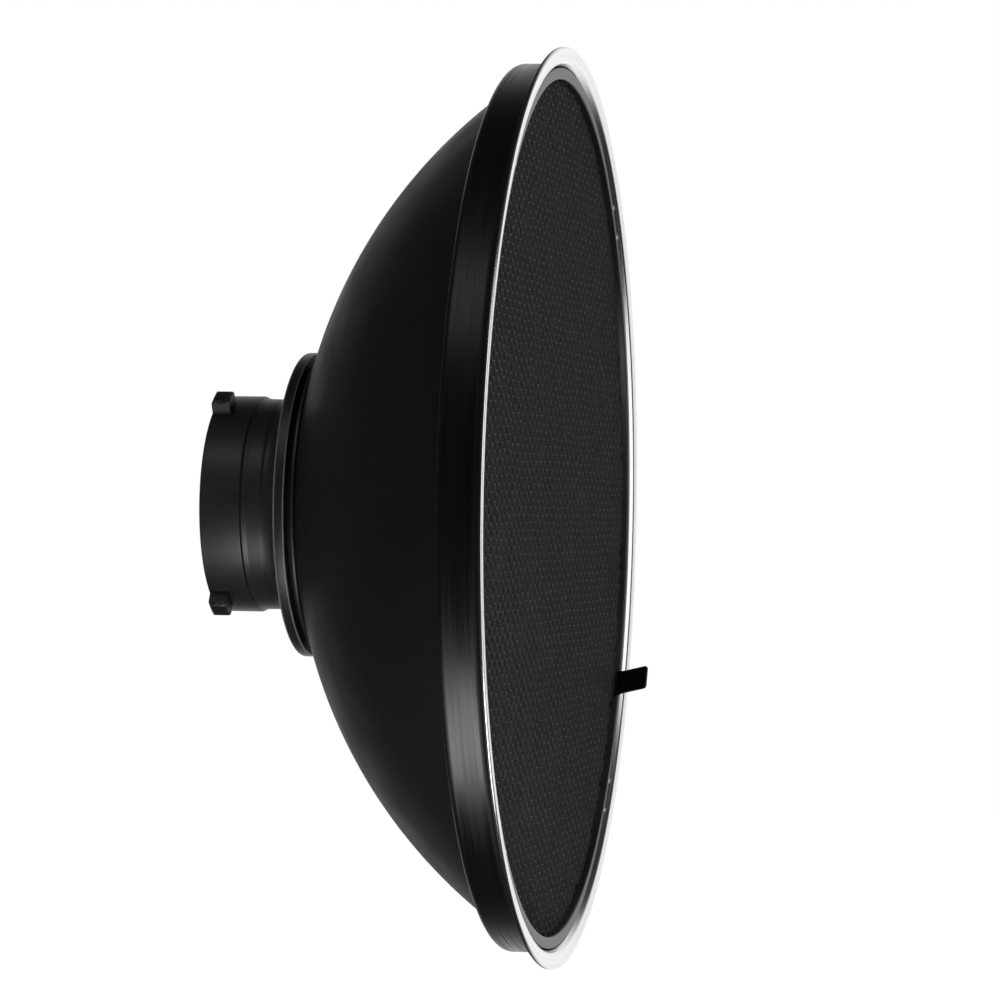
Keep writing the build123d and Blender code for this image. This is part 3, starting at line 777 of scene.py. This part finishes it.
def makeCollar():
    rearX, frontX, bellTop = reachOf("neck_collar")
    flangeRear = reachOf("mount_flange")[0]
    start, end = (collar["creaseX"], collar["crease"]), (flangeRear, bellTop)
    run, rise = end[0] - start[0], end[1] - start[1]
    bellArc = (run ** 2 + rise ** 2) / (2 * rise)      # an arc that leaves the crease level
    corners = [
        (rearX, collar["socket"], 0, 0),
        (rearX, collar["rearRadius"], 0.25, 0),
        (collar["waistX"], collar["waist"], 1.0, 0),
        (start[0] - 1.6, collar["waist"] - 0.1, 1.2, 0),
        (start[0] - 0.3, start[1], 0.2, 0),
        (start[0], start[1], 0, 0),
        *arcRun(start, end, -bellArc, 14),
        (end[0], end[1], 0, 0),
        (frontX, bellTop, 0, 0),
        (frontX, collar["bore"], 0, 0),
        (collar["socketEndX"], collar["bore"], 0, 0),
        (collar["socketEndX"], collar["socket"], 0, 0),
    ]
    turnedPiece("neckCollar", corners, 160, turnedAnodising, "dish", "black_anodised", "neck_collar")


def makeFlange():
    rearX, frontX, radius = reachOf("mount_flange")
    inner = reachOf("neck_collar")[2]
    corners = [
        (rearX, inner, 0.15, 0),
        (rearX, radius, flange["rearRound"], 0),
        (frontX, radius, flange["frontRound"], 0),
        (frontX, inner, 0, 0),
    ]
    turnedPiece("mountFlange", corners, 192, flangeAnodising, "dish", "black_anodised", "mount_flange", 8)


def makeRearRing(node, name, material, slotName):
    rearX, frontX, radius = reachOf(node)
    edge = rearRings[node]
    corners = [(rearX, shell["rearHole"], 0, 0), (rearX, radius, edge, 0)]
    if node == "seat_ring":
        stepX = frontX - seatStep["width"]
        corners += [(stepX, radius, edge, 0), (stepX, seatStep["radius"], 0, 0)]
        radius = seatStep["radius"]
    corners += [(frontX, radius, edge / 2, 0), (frontX, shell["rearHole"], 0, 0)]
    turnedPiece(name, corners, 192, material, "dish", slotName, node)


makeTube()
makeCollar()
makeFlange()
# the spacer's near-black colour is painted shade of the recess
makeRearRing("neck_spacer", "neckSpacer", mattAnodising, "black_anodised")
makeRearRing("seat_ring", "seatRing", turnedAnodising, "black_anodised")
makeRearRing("clamp_ring", "clampRing", pressedAluminium, "bare_aluminium")
print("tube and rings turned")


lug = {
    "count": 3, "width": 10.8, "height": reachOf("bayonet_lug_1")[2] - tube["radius"], "rearX": 0.6,
    "length": 8.4, "edge": 1.5, "screwHead": 3.0, "screwRadius": 1.6, "screwLength": 6.0,
}


def makeLugs():
    # a block whose underside follows the tube
    shape = bmesh.new()
    steps = 8
    rows = []
    for x in (0.0, lug["length"]):
        inner, outer = [], []
        for i in range(steps + 1):
            z = lug["width"] * (i / steps - 0.5)
            under = math.sqrt((tube["radius"] - 0.1) ** 2 - z ** 2)      # sunk 0.1 mm into the tube
            inner.append(shape.verts.new(Vector((x, under, z)) * mm))
            top = tube["radius"] + lug["height"]
            outer.append(shape.verts.new(Vector((x, math.sqrt(top ** 2 - z ** 2), z)) * mm))
        rows.append(inner + outer[::-1])
    closeBetween(shape, *rows)
    topLimit = (tube["radius"] + lug["height"] - 0.8) * mm
    edges = [
        e for e in shape.edges
        if all(v.co.y > topLimit for v in e.verts) and len(e.link_faces) == 2
        and e.calc_face_angle(0) > math.radians(40)
    ]
    bevelEdges(shape, edges, lug["edge"])
    piece = ringOf(
        "bayonetLugs", shape, lugAnodising, lug["rearX"], 0.0, 0.0, lug["count"]
    )
    fit(piece, "dish", "black_anodised", "bayonet_lug_1", "bayonet_lug_2", "bayonet_lug_3")


def turnUpright(mesh):
    # a shape turned about X is stood along +Y, outward from the axis
    bmesh.ops.transform(mesh, matrix=Matrix.Rotation(math.radians(90), 4, "Z"), verts=mesh.verts)
    return mesh


def prism(sides, radius, low, high):
    # a straight prism along X
    outline = [(low, 0, 0, 0), (low, radius, 0, 0), (high, radius, 0, 0), (high, 0, 0, 0)]
    return turn(outline, sides)


def makeLugScrews():
    head = turn(roundCorners([
        (0, 0, 0, 0), (0, lug["screwHead"], 0.15, 0), (1.4, lug["screwRadius"], 0, 0),
        (lug["screwLength"], lug["screwRadius"], 0, 0), (lug["screwLength"], 0, 0, 0),
    ]), 32)
    head = cutAway(head, prism(6, 1.15, -0.5, 0.9))
    x = lug["rearX"] + lug["length"] / 2
    piece = ringOf(
        "lugScrews", turnUpright(head), blackOxide, x, tube["radius"] - tube["wall"], 0.0, lug["count"]
    )
    fit(piece, "dish", "black_screw", "lug_screws")


makeLugs()
makeLugScrews()
print("lugs fitted")


bolts = {
    "circle": 60.0, "mountAngle": 30.0, "postAngle": 90.0, "headRadius": 3.8, "headHeight": 2.4,
    "shank": 2.0, "thread": 0.7, "threadDepth": 0.22,
    "crossWidth": 0.9, "crossLength": 4.4, "crossDepth": 1.2,
    "nutAcrossFlats": 7.0, "washerOuter": 4.4, "washerInner": 2.15,
}


def threadedRun(startX, endX, radius):
    # crests and roots of a thread, as rings
    run = []
    count = int((endX - startX) / bolts["thread"])
    for i in range(count):
        x = startX + i * bolts["thread"]
        run.append((x, radius - bolts["threadDepth"], 0, 0))
        run.append((x + bolts["thread"] / 2, radius, 0, 0))
    return run


def panScrew(length):
    head = roundCorners([
        (-bolts["headHeight"], 0, 0, 0),
        (-bolts["headHeight"], bolts["headRadius"], 1.2, 0),
        (0, bolts["headRadius"], 0.2, 0),
        (0, bolts["shank"], 0, 0),
    ], 5)
    shape = turn(
        head + threadedRun(length - 9.0, length - 0.6, bolts["shank"])
        + [(length, bolts["shank"] - 0.5, 0, 0), (length, 0, 0, 0)],
        28,
    )
    cross = bmesh.new()
    for size in (
        (bolts["crossDepth"] * 2, bolts["crossLength"], bolts["crossWidth"]),
        (bolts["crossDepth"] * 2, bolts["crossWidth"], bolts["crossLength"]),
    ):
        place = Matrix.Translation((-bolts["headHeight"] * mm, 0, 0))
        bmesh.ops.create_cube(cross, size=1.0, matrix=place @ Matrix.Diagonal((*[s * mm for s in size], 1)))
        shape = cutAway(shape, cross)
        cross = bmesh.new()
    cross.free()
    return shape


def makeBolts():
    seatX = reachOf("mount_flange")[0]
    mountEnd = reachOf("mount_screws")[1]
    postEnd = reachOf("post_screws")[1]
    screws = ringOf(
        "mountScrews", panScrew(mountEnd - seatX), blackOxide, seatX, bolts["circle"], bolts["mountAngle"], 3
    )
    fit(screws, "dish", "black_screw", "mount_screws")
    screws = ringOf(
        "postScrews", panScrew(postEnd - seatX), blackOxide, seatX, bolts["circle"], bolts["postAngle"], 3
    )
    fit(screws, "dish", "black_screw", "post_screws")


def makeWashers(node, name, material, slotName, firstAngle):
    rearX, frontX, _ = reachOf(node)
    outer, inner = bolts["washerOuter"], bolts["washerInner"]
    height = frontX - rearX
    shape = turn(roundCorners([
        (0, inner, 0, 0), (0, outer, 0.15, 0), (height, outer, 0.25, 0), (height, inner, 0.15, 0),
    ], 3), 32)
    piece = ringOf(name, shape, material, rearX, bolts["circle"], firstAngle, 3)
    fit(piece, "dish", slotName, node)


def makeNuts():
    rearX, frontX, _ = reachOf("mount_nuts")
    height, corner = frontX - rearX, bolts["nutAcrossFlats"] / math.sqrt(3)
    past, edge = 0.1, 0.35      # the cone stands past both faces and takes the corners off
    cone = turn([
        (-past, 0, 0, 0), (-past, corner - edge, 0, 0), (edge, corner + 0.05, 0, 0),
        (height - edge, corner + 0.05, 0, 0), (height + past, corner - edge, 0, 0), (height + past, 0, 0, 0),
    ], 36)
    shape = cutAway(prism(6, corner, 0, height), cone, "INTERSECT")
    piece = ringOf("mountNuts", shape, zincSteel, rearX, bolts["circle"], bolts["mountAngle"], 3)
    fit(piece, "dish", "zinc_steel", "mount_nuts")


posts = {"radius": 3.0, "waist": 2.7, "land": 6.0, "landSlope": 0.3}      # full radius only at the ends
thumb = {"radius": 5.0, "ridges": 30, "ridgeDepth": 0.35}


def makePosts():
    rearX, tipX, _ = reachOf("deflector_post_1")
    discX = reachOf("deflector_disc")[0]
    length = discX - rearX
    radius, waist, land = posts["radius"], posts["waist"], posts["land"]
    slopeEnd = land + posts["landSlope"]
    outline = roundCorners([
        (0, 0, 0, 0), (0, radius, 0.4, 0), (land, radius, 0.1, 0), (slopeEnd, waist, 0.1, 0),
        (length - slopeEnd, waist, 0.1, 0), (length - land, radius, 0.1, 0),
        (length, radius, 0.4, 0), (length, 1.75, 0, 0),
    ], 3) + threadedRun(length + 0.3, tipX - rearX - 0.7, bolts["shank"]) + [
        (tipX - rearX, 1.5, 0, 0), (tipX - rearX, 0, 0, 0),
    ]
    piece = ringOf(
        "deflectorPosts", turn(outline, 32), zincSteel, rearX, bolts["circle"], bolts["postAngle"], 3
    )
    fit(piece, "dish", "zinc_steel", "deflector_post_1", "deflector_post_2", "deflector_post_3")


def makeThumbNuts():
    rearX, frontX, _ = reachOf("deflector_thumb_nuts")
    height = frontX - rearX
    outline = roundCorners([
        (0, 2.05, 0, 0), (0, 3.6, 0.2, 0), (1.0, 3.6, 0.2, 0), (1.0, thumb["radius"], 0.3, 0),
        (height, thumb["radius"], 0.5, 0), (height, 2.4, 0.3, 0), (height - 0.5, 2.05, 0, 0),
    ], 3)
    shape = turn(outline, thumb["ridges"] * 2)
    for vert in shape.verts:
        radius = math.hypot(vert.co.y, vert.co.z)
        step = round(math.atan2(vert.co.z, vert.co.y) / (math.pi / thumb["ridges"]))
        if radius > 4.6 * mm and step % 2:
            vert.co.yz = Vector(vert.co.yz) * (1 - thumb["ridgeDepth"] / thumb["radius"])
    piece = ringOf("deflectorThumbNuts", shape, zincSteel, rearX, bolts["circle"], bolts["postAngle"], 3)
    fit(piece, "dish", "zinc_steel", "deflector_thumb_nuts")


deflector = {"sheet": 1.2, "crownRadius": 260.0, "flat": 54.0}


def makeDeflector():
    rearX, crownX, radius = reachOf("deflector_disc")
    crown = math.sqrt(deflector["crownRadius"] ** 2 - deflector["flat"] ** 2)
    rise = deflector["crownRadius"] - crown
    thick, flat = deflector["sheet"], deflector["flat"]
    rear, front = [], []
    for i in range(19):
        r = flat * i / 18
        lift = rise - (deflector["crownRadius"] - math.sqrt(deflector["crownRadius"] ** 2 - r ** 2))
        front.append((rearX + thick + lift, r, 0, 0))
        rear.append((rearX + lift, r, 0, 0))
    edge = roundCorners([
        (rearX + thick, flat + 1.0, 0, 0), (rearX + thick, radius, 0.5, 0), (rearX, radius, 0.5, 0),
        (rearX, flat + 1.0, 0, 0),
    ], 4)
    piece = toObject("deflectorDisc", turn(front + edge + rear[::-1], 160), [pressedAluminium])
    fit(piece, "dish", "bare_aluminium", "deflector_disc")


makeBolts()
makeWashers("mount_washers", "mountWashers", zincSteel, "zinc_steel", bolts["mountAngle"])
makeWashers("deflector_washers", "deflectorWashers", nylon, "nylon", bolts["postAngle"])
makeNuts()
makePosts()
makeThumbNuts()
makeDeflector()
print("deflector and fasteners fitted")


hoop = {
    "inner": 195.3, "wall": 1.5, "ringInner": 189.5, "seamAngle": 155.0, "seam": 0.5,
    "spliceHalfAngle": 4.2, "spliceHeight": 0.95,
}
hoopRearX, hoopFrontX, hoopFlangeRadius = reachOf("grid_frame")
rivet = {
    "shank": 1.1, "head": 1.6, "webHead": 1.8, "height": 0.6,
    "spliceX": 145.5, "splicePitch": 7.5, "anchorX": 148.0, "pairAngle": 4.4,
}


def domedHead(radius, height, baseX, direction):
    # half outline of a low dome from its rim to the middle
    points = []
    for i in range(6):
        angle = math.radians(90 * i / 5)
        points.append((baseX + direction * height * math.sin(angle), radius * math.cos(angle), 0, 0))
    return points


def makeHoop():
    inner, outer = hoop["inner"], hoop["inner"] + hoop["wall"]
    seamDegrees = math.degrees(hoop["seam"] / inner)
    outline = roundCorners([
        (hoopRearX, inner, 0.4, 0),
        (hoopFrontX, inner, 0.9, 0),
        (hoopFrontX, hoopFlangeRadius, 0.4, 0),
        (hoopFrontX - hoop["wall"], hoopFlangeRadius, 0.4, 0),
        (hoopFrontX - hoop["wall"], outer, 0.4, 0),
        (hoopRearX, outer, 0.4, 0),
    ], 4)
    mesh = turn(outline, shellSteps, hoop["seamAngle"] + seamDegrees / 2, 360 - seamDegrees - 0.001)
    piece = toObject("gridHoop", mesh, [hoopEnamel])
    fit(piece, "grid", "frame_black", "grid_frame")


def makeSplice():
    low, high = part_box("frame_splice")
    half = hoop["spliceHalfAngle"]
    inner = hoop["inner"] + hoop["wall"] + 0.05
    outer = inner + hoop["spliceHeight"] - 0.05
    outline = roundCorners([
        (low.x / mm, inner, 0, 0), (low.x / mm, outer, 0.3, 0), (high.x / mm, outer, 0.3, 0),
        (high.x / mm, inner, 0, 0),
    ], 3)
    piece = toObject("hoopSplice", turn(outline, 12, hoop["seamAngle"] - half, 2 * half), [hoopEnamel])
    fit(piece, "grid", "frame_black", "frame_splice")


def webRivet(innerRadius, outerRadius):
    # a rivet through the hoop's wall: flush inside, domed outside
    length = outerRadius - innerRadius
    outline = [(0, 0, 0, 0), (0, rivet["shank"], 0, 0), (length, rivet["shank"], 0, 0)]
    outline += domedHead(rivet["webHead"], rivet["height"], length, 1)
    return turnUpright(turn(outline, 20))


def makeWebRivets():
    outer = hoop["inner"] + hoop["wall"]
    shape = webRivet(hoop["inner"], outer + hoop["spliceHeight"])
    second = shape.copy()
    bmesh.ops.translate(second, verts=second.verts, vec=(rivet["splicePitch"] * mm, 0, 0))
    piece = ringOf(
        "spliceRivets", joinMeshes(shape, second), rivetAluminium, rivet["spliceX"], hoop["inner"],
        hoop["seamAngle"], 1, 2, rivet["pairAngle"],
    )
    fit(piece, "grid", "rivet_aluminium", "splice_rivets")
    piece = ringOf(
        "tabRivets", webRivet(tab["anchorInner"], outer), rivetAluminium, rivet["anchorX"],
        tab["anchorInner"], tab["angle"], 1, 2, rivet["pairAngle"],
    )
    fit(piece, "grid", "rivet_aluminium", "tab_rivets")


core = {
    "pitch": 6.87, "wall": 0.2, "gluedWall": 0.3,      # foil is 0.08 mm; drawn thicker so that it shows
    "waviness": 4.2, "waveLength": 19.0, "seed": 4.0, "notchHalfAngle": 3.6, "notchDepth": 1.6,
}


def makeCore():
    rearX, frontX, radius = reachOf("honeycomb_core")
    foil = makeFoil(frontX)
    seedMesh = bmesh.new()
    piece = toObject("honeycombFoil", seedMesh, [foil])
    rows = 2 * int(radius / (core["pitch"] * math.sqrt(3) / 2)) + 5
    growWith(piece, makeHoneycombTree(), **{
        "Rows": rows, "Core Radius": (hoop["inner"] - 0.15) * mm, "Cell Pitch": core["pitch"] * mm,
        "Wall": core["wall"] * mm, "Glued Wall": core["gluedWall"] * mm, "Rear": (rearX + 0.2) * mm,
        "Depth": (frontX - rearX - 0.4) * mm, "Waviness": core["waviness"] * mm,
        "Wave Length": core["waveLength"] * mm, "Notch Angle": tab["angle"],
        "Notch Half Width": core["notchHalfAngle"],
        "Notch Depth": core["notchDepth"] * mm, "Seed": core["seed"], "Material": foil,
    })
    print("honeycomb faces", len(piece.data.polygons))
    fit(piece, "grid", "honeycomb_foil", "honeycomb_core")


def makeRetainingRing():
    rearX, frontX, radius = reachOf("core_retaining_ring")
    inner = hoop["ringInner"]
    corners = [
        (rearX, inner, 0.3, 0), (rearX, radius, 0.2, 0), (frontX, radius, 0.2, 0), (frontX, inner, 0.3, 0),
    ]
    turnedPiece(
        "coreRetainingRing", corners, shellSteps, hoopEnamel, "grid", "frame_black", "core_retaining_ring", 3
    )


clip = {
    "firstAngle": 45.0, "count": 4, "width": 13.0, "footWidth": 25.0, "sheet": 0.5, "rivetCircle": 198.8,
    "rivetPitch": 19.0, "tipX": 143.5, "crestX": 150.0,
}


def makeClips():
    frontX = hoopFrontX - hoop["wall"]
    base = hoop["inner"] + hoop["wall"]
    low, high = base + 0.3, shell["bandRadius"] - sheet - 0.2
    tipR = low + 1.0
    # the leaf bows out to the band and comes back: a parabola through crest and tip
    top, under = [], []
    for i in range(15):
        x = frontX + (clip["tipX"] - frontX) * i / 14
        share = (x - clip["crestX"]) / (frontX - clip["crestX"])
        if share > 0:
            r = high - (high - clip["sheet"] - low) * share ** 2
        else:
            r = high - (high - tipR) * ((clip["crestX"] - x) / (clip["crestX"] - clip["tipX"])) ** 2
        top.append((x, r))
        under.append((x, r - clip["sheet"]))
    leaf = extrudeAcross(top + under[::-1], clip["width"], 0)
    rim = [e for e in leaf.edges if e.calc_face_angle(0) > math.radians(50)]
    bevelEdges(leaf, rim, 0.12, 2)
    sweep = math.degrees(clip["footWidth"] / clip["rivetCircle"])
    footX, footTop = frontX - clip["sheet"], hoopFlangeRadius - 0.15
    foot = turn(roundCorners([
        (footX, base + 0.25, 0.1, 0), (footX, footTop, 0.1, 0),
        (frontX, footTop, 0.1, 0), (frontX, base + 0.25, 0.1, 0),
    ], 2), 16, -sweep / 2, sweep)
    piece = ringOf(
        "gridClips", joinMeshes(leaf, foot), springSteel, 0.0, 0.0, clip["firstAngle"], clip["count"]
    )
    fit(piece, "grid", "spring_steel", "grid_clip_1", "grid_clip_2", "grid_clip_3", "grid_clip_4")


def makeClipRivets():
    length = hoop["wall"] + clip["sheet"]
    outline = domedHead(rivet["head"], rivet["height"], 0, -1)[::-1]
    outline += domedHead(rivet["head"], rivet["height"], length, 1)
    spread = math.degrees(clip["rivetPitch"] / clip["rivetCircle"])
    piece = ringOf(
        "clipRivets", turn(outline, 24), rivetAluminium, hoopFrontX - length, clip["rivetCircle"],
        clip["firstAngle"], clip["count"], 2, spread,
    )
    fit(piece, "grid", "rivet_aluminium", "clip_rivets")


tab = {
    "angle": -26.6, "width": 12.0, "sheet": 1.4, "length": 19.0, "lean": 29.0, "hingeX": 157.2,
    "hingeRadius": 194.25, "corner": 1.5, "rootStart": 0.8, "rootEnd": 5.0, "rootFlare": 1.6,
    "anchorInner": 193.85, "anchorOuter": 195.25, "anchorHalfAngle": 3.2, "barrelSteps": 20,
}


def makeTab():
    # plan of the strip: u runs along it and w across, the root widens in a small curve,
    # and the end corners are round
    half, length = tab["width"] / 2, tab["length"]
    corner, flare = tab["corner"], tab["rootFlare"]
    rootRun = tab["rootEnd"] - tab["rootStart"]
    quarter = [math.radians(90 * i / 6) for i in range(7)]
    side = [(tab["rootEnd"] - rootRun * math.cos(a), half + flare * (1 - math.sin(a))) for a in quarter]
    end, shoulder = length - corner, half - corner
    side += [(end + corner * math.sin(a), shoulder + corner * math.cos(a)) for a in quarter]
    plan = side + [(u, -w) for u, w in reversed(side)]
    lean, tilt = math.radians(tab["lean"]), math.radians(tab["angle"])
    outward = Vector((0, math.cos(tilt), math.sin(tilt)))
    across = Vector((0, -math.sin(tilt), math.cos(tilt)))
    along = Vector((math.cos(lean), 0, 0)) - outward * math.sin(lean)
    lift = outward * math.cos(lean) + Vector((math.sin(lean), 0, 0))
    root = Vector((tab["hingeX"], 0, 0)) + outward * tab["hingeRadius"]
    mesh = bmesh.new()
    layers = []
    for level in (-0.5, 0.5):
        layers.append([
            mesh.verts.new((root + along * u + across * w + lift * level * tab["sheet"]) * mm)
            for u, w in plan
        ])
    closeBetween(mesh, *layers)
    rim = [e for e in mesh.edges if e.calc_face_angle(0) > math.radians(60)]
    bevelEdges(mesh, rim, 0.35, 3)
    # the rolled barrel it turns on
    barrel = bmesh.new()
    rings = []
    barrelRadius, steps = tab["sheet"] / 2, tab["barrelSteps"]
    circle = [2 * math.pi * i / steps for i in range(steps)]
    for end in (-0.5, 0.5):
        middle = root + across * end * (tab["width"] - 0.4)
        rings.append([
            barrel.verts.new((
                middle + (Vector((math.cos(a), 0, 0)) + outward * math.sin(a)) * barrelRadius
            ) * mm)
            for a in circle
        ])
    closeBetween(barrel, *rings)
    piece = toObject("pullTab", joinMeshes(mesh, barrel), [tabPlastic])
    fit(piece, "tab", "strap_black", "pull_tab")


def makeAnchor():
    low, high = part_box("tab_anchor")
    inner, outer, half = tab["anchorInner"], tab["anchorOuter"], tab["anchorHalfAngle"]
    outline = roundCorners([
        (low.x / mm, inner, 0.2, 0), (low.x / mm, outer, 0.2, 0), (high.x / mm, outer, 0.3, 0),
        (high.x / mm, inner, 0.5, 0),
    ], 3)
    piece = toObject("tabAnchor", turn(outline, 12, tab["angle"] - half, 2 * half), [tabPlastic])
    fit(piece, "grid", "strap_black", "tab_anchor")


makeHoop()
makeSplice()
makeWebRivets()
makeCore()
makeRetainingRing()
makeClips()
makeClipRivets()
makeTab()
makeAnchor()
print("grid assembled")


stageSet = {
    "floorZ": -0.46, "floorSize": 9.0, "floorGlow": 0.96,
    "backdropLight": 1.1, "backdropFrom": 0.66, "roomLight": 0.028, "rearLight": 0.075,
}


def makeFloor():
    mesh = bmesh.new()
    bmesh.ops.create_grid(mesh, x_segments=1, y_segments=1, size=stageSet["floorSize"] / 2)
    bmesh.ops.translate(mesh, verts=mesh.verts, vec=(0, 0, stageSet["floorZ"]))
    # opal acrylic of a light table: matt white, lit from below
    material, tree, shader = newMaterial("opalAcrylicTable", "#f2f2f2", 0.6, IOR=1.49)
    shader.inputs["Emission Color"].default_value = linear("#ffffff")
    shader.inputs["Emission Strength"].default_value = stageSet["floorGlow"]
    floor = toObject("floor", mesh, [material])
    floor.visible_diffuse = False
    floor.visible_glossy = False


def makeWorld():
    # white behind the object and darker on the camera's side, as in a studio with one lit backdrop
    world = bpy.data.worlds.new("studio")
    bpy.context.scene.world = world
    world.use_nodes = True
    tree = world.node_tree
    tree.nodes.clear()
    direction = addNode(tree, "ShaderNodeTexCoord").outputs["Generated"]
    split = addNode(tree, "ShaderNodeSeparateXYZ", {0: direction}).outputs
    room = addNode(tree, "ShaderNodeMapRange", {
        "Value": split["X"], "From Min": -0.3, "From Max": -1.0,
        "To Min": stageSet["roomLight"], "To Max": stageSet["rearLight"],
    }, interpolation_type="SMOOTHSTEP").outputs[0]
    behind = addNode(tree, "ShaderNodeMapRange", {
        "Value": split["Y"], "From Min": stageSet["backdropFrom"], "From Max": 1.0,
        "To Min": room, "To Max": stageSet["backdropLight"],
    }, interpolation_type="SMOOTHSTEP").outputs[0]
    seen = addNode(tree, "ShaderNodeLightPath").outputs["Is Camera Ray"]
    strength = addNode(tree, "ShaderNodeMix", {0: seen, 2: behind, 3: 1.0}).outputs[0]
    background = addNode(tree, "ShaderNodeBackground", {"Color": linear("#ffffff"), "Strength": strength})
    addNode(tree, "ShaderNodeOutputWorld", {0: background.outputs[0]})


def addSoftbox(name, place, size, brightness, target=(0.08, 0, 0)):
    # a rectangular soft light of even brightness, facing the target
    light = bpy.data.lights.new(name, "AREA")
    light.shape = "RECTANGLE"
    light.size, light.size_y = size
    light.energy = brightness * math.pi * size[0] * size[1]
    box = bpy.data.objects.new(name, light)
    box.location = place
    box.rotation_euler = (Vector(target) - Vector(place)).to_track_quat("-Z", "Y").to_euler()
    box.visible_camera = False
    bpy.context.scene.collection.objects.link(box)
    return box


def makeCamera():
    view = {
        "azimuth": 11.97, "roll": 0.84, "distance": 1.95, "lens": 152.2,
        "target": (0.08, 0, 0), "aimRight": 0.0486, "aimUp": 0.0027,
    }
    turnAngle, roll = math.radians(view["azimuth"]), math.radians(view["roll"])
    back = Vector((math.sin(turnAngle), -math.cos(turnAngle), 0))
    level = Vector((math.cos(turnAngle), math.sin(turnAngle), 0))
    up = Vector((0, 0, 1))
    right = level * math.cos(roll) + up * math.sin(roll)
    top = up * math.cos(roll) - level * math.sin(roll)
    place = Vector(view["target"]) + back * view["distance"]
    aim = Vector(view["target"]) + right * view["aimRight"] + top * view["aimUp"]
    ahead = (aim - place).normalized()
    side = ahead.cross(top).normalized()
    upward = side.cross(ahead)
    camera = bpy.data.objects.new("camera", bpy.data.cameras.new("camera"))
    camera.data.lens = view["lens"]
    camera.data.sensor_width = 36
    camera.matrix_world = Matrix.Translation(place) @ Matrix((side, upward, -ahead)).transposed().to_4x4()
    bpy.context.scene.collection.objects.link(camera)
    bpy.context.scene.camera = camera


makeFloor()
makeWorld()
addSoftbox("frontTopBox", (-0.15, -0.85, 1.04), (0.9, 0.46), 0.86, (0.05, -0.15, 0.05))
addSoftbox("lowCard", (0.14, -0.42, -0.455), (0.34, 0.30), 6.6, (0.14, -0.30, 0.2))
addSoftbox("lowRearCard", (-0.20, -0.34, -0.455), (0.3, 0.3), 0.8, (-0.1, -0.1, 0.2))
addSoftbox("mouthCard", (1.30, -0.62, 0.0), (1.3, 2.4), 1.25, (0.16, 0.1, 0.0))
makeCamera()
bpy.context.scene.view_settings.view_transform = "Standard"
print("studio ready")
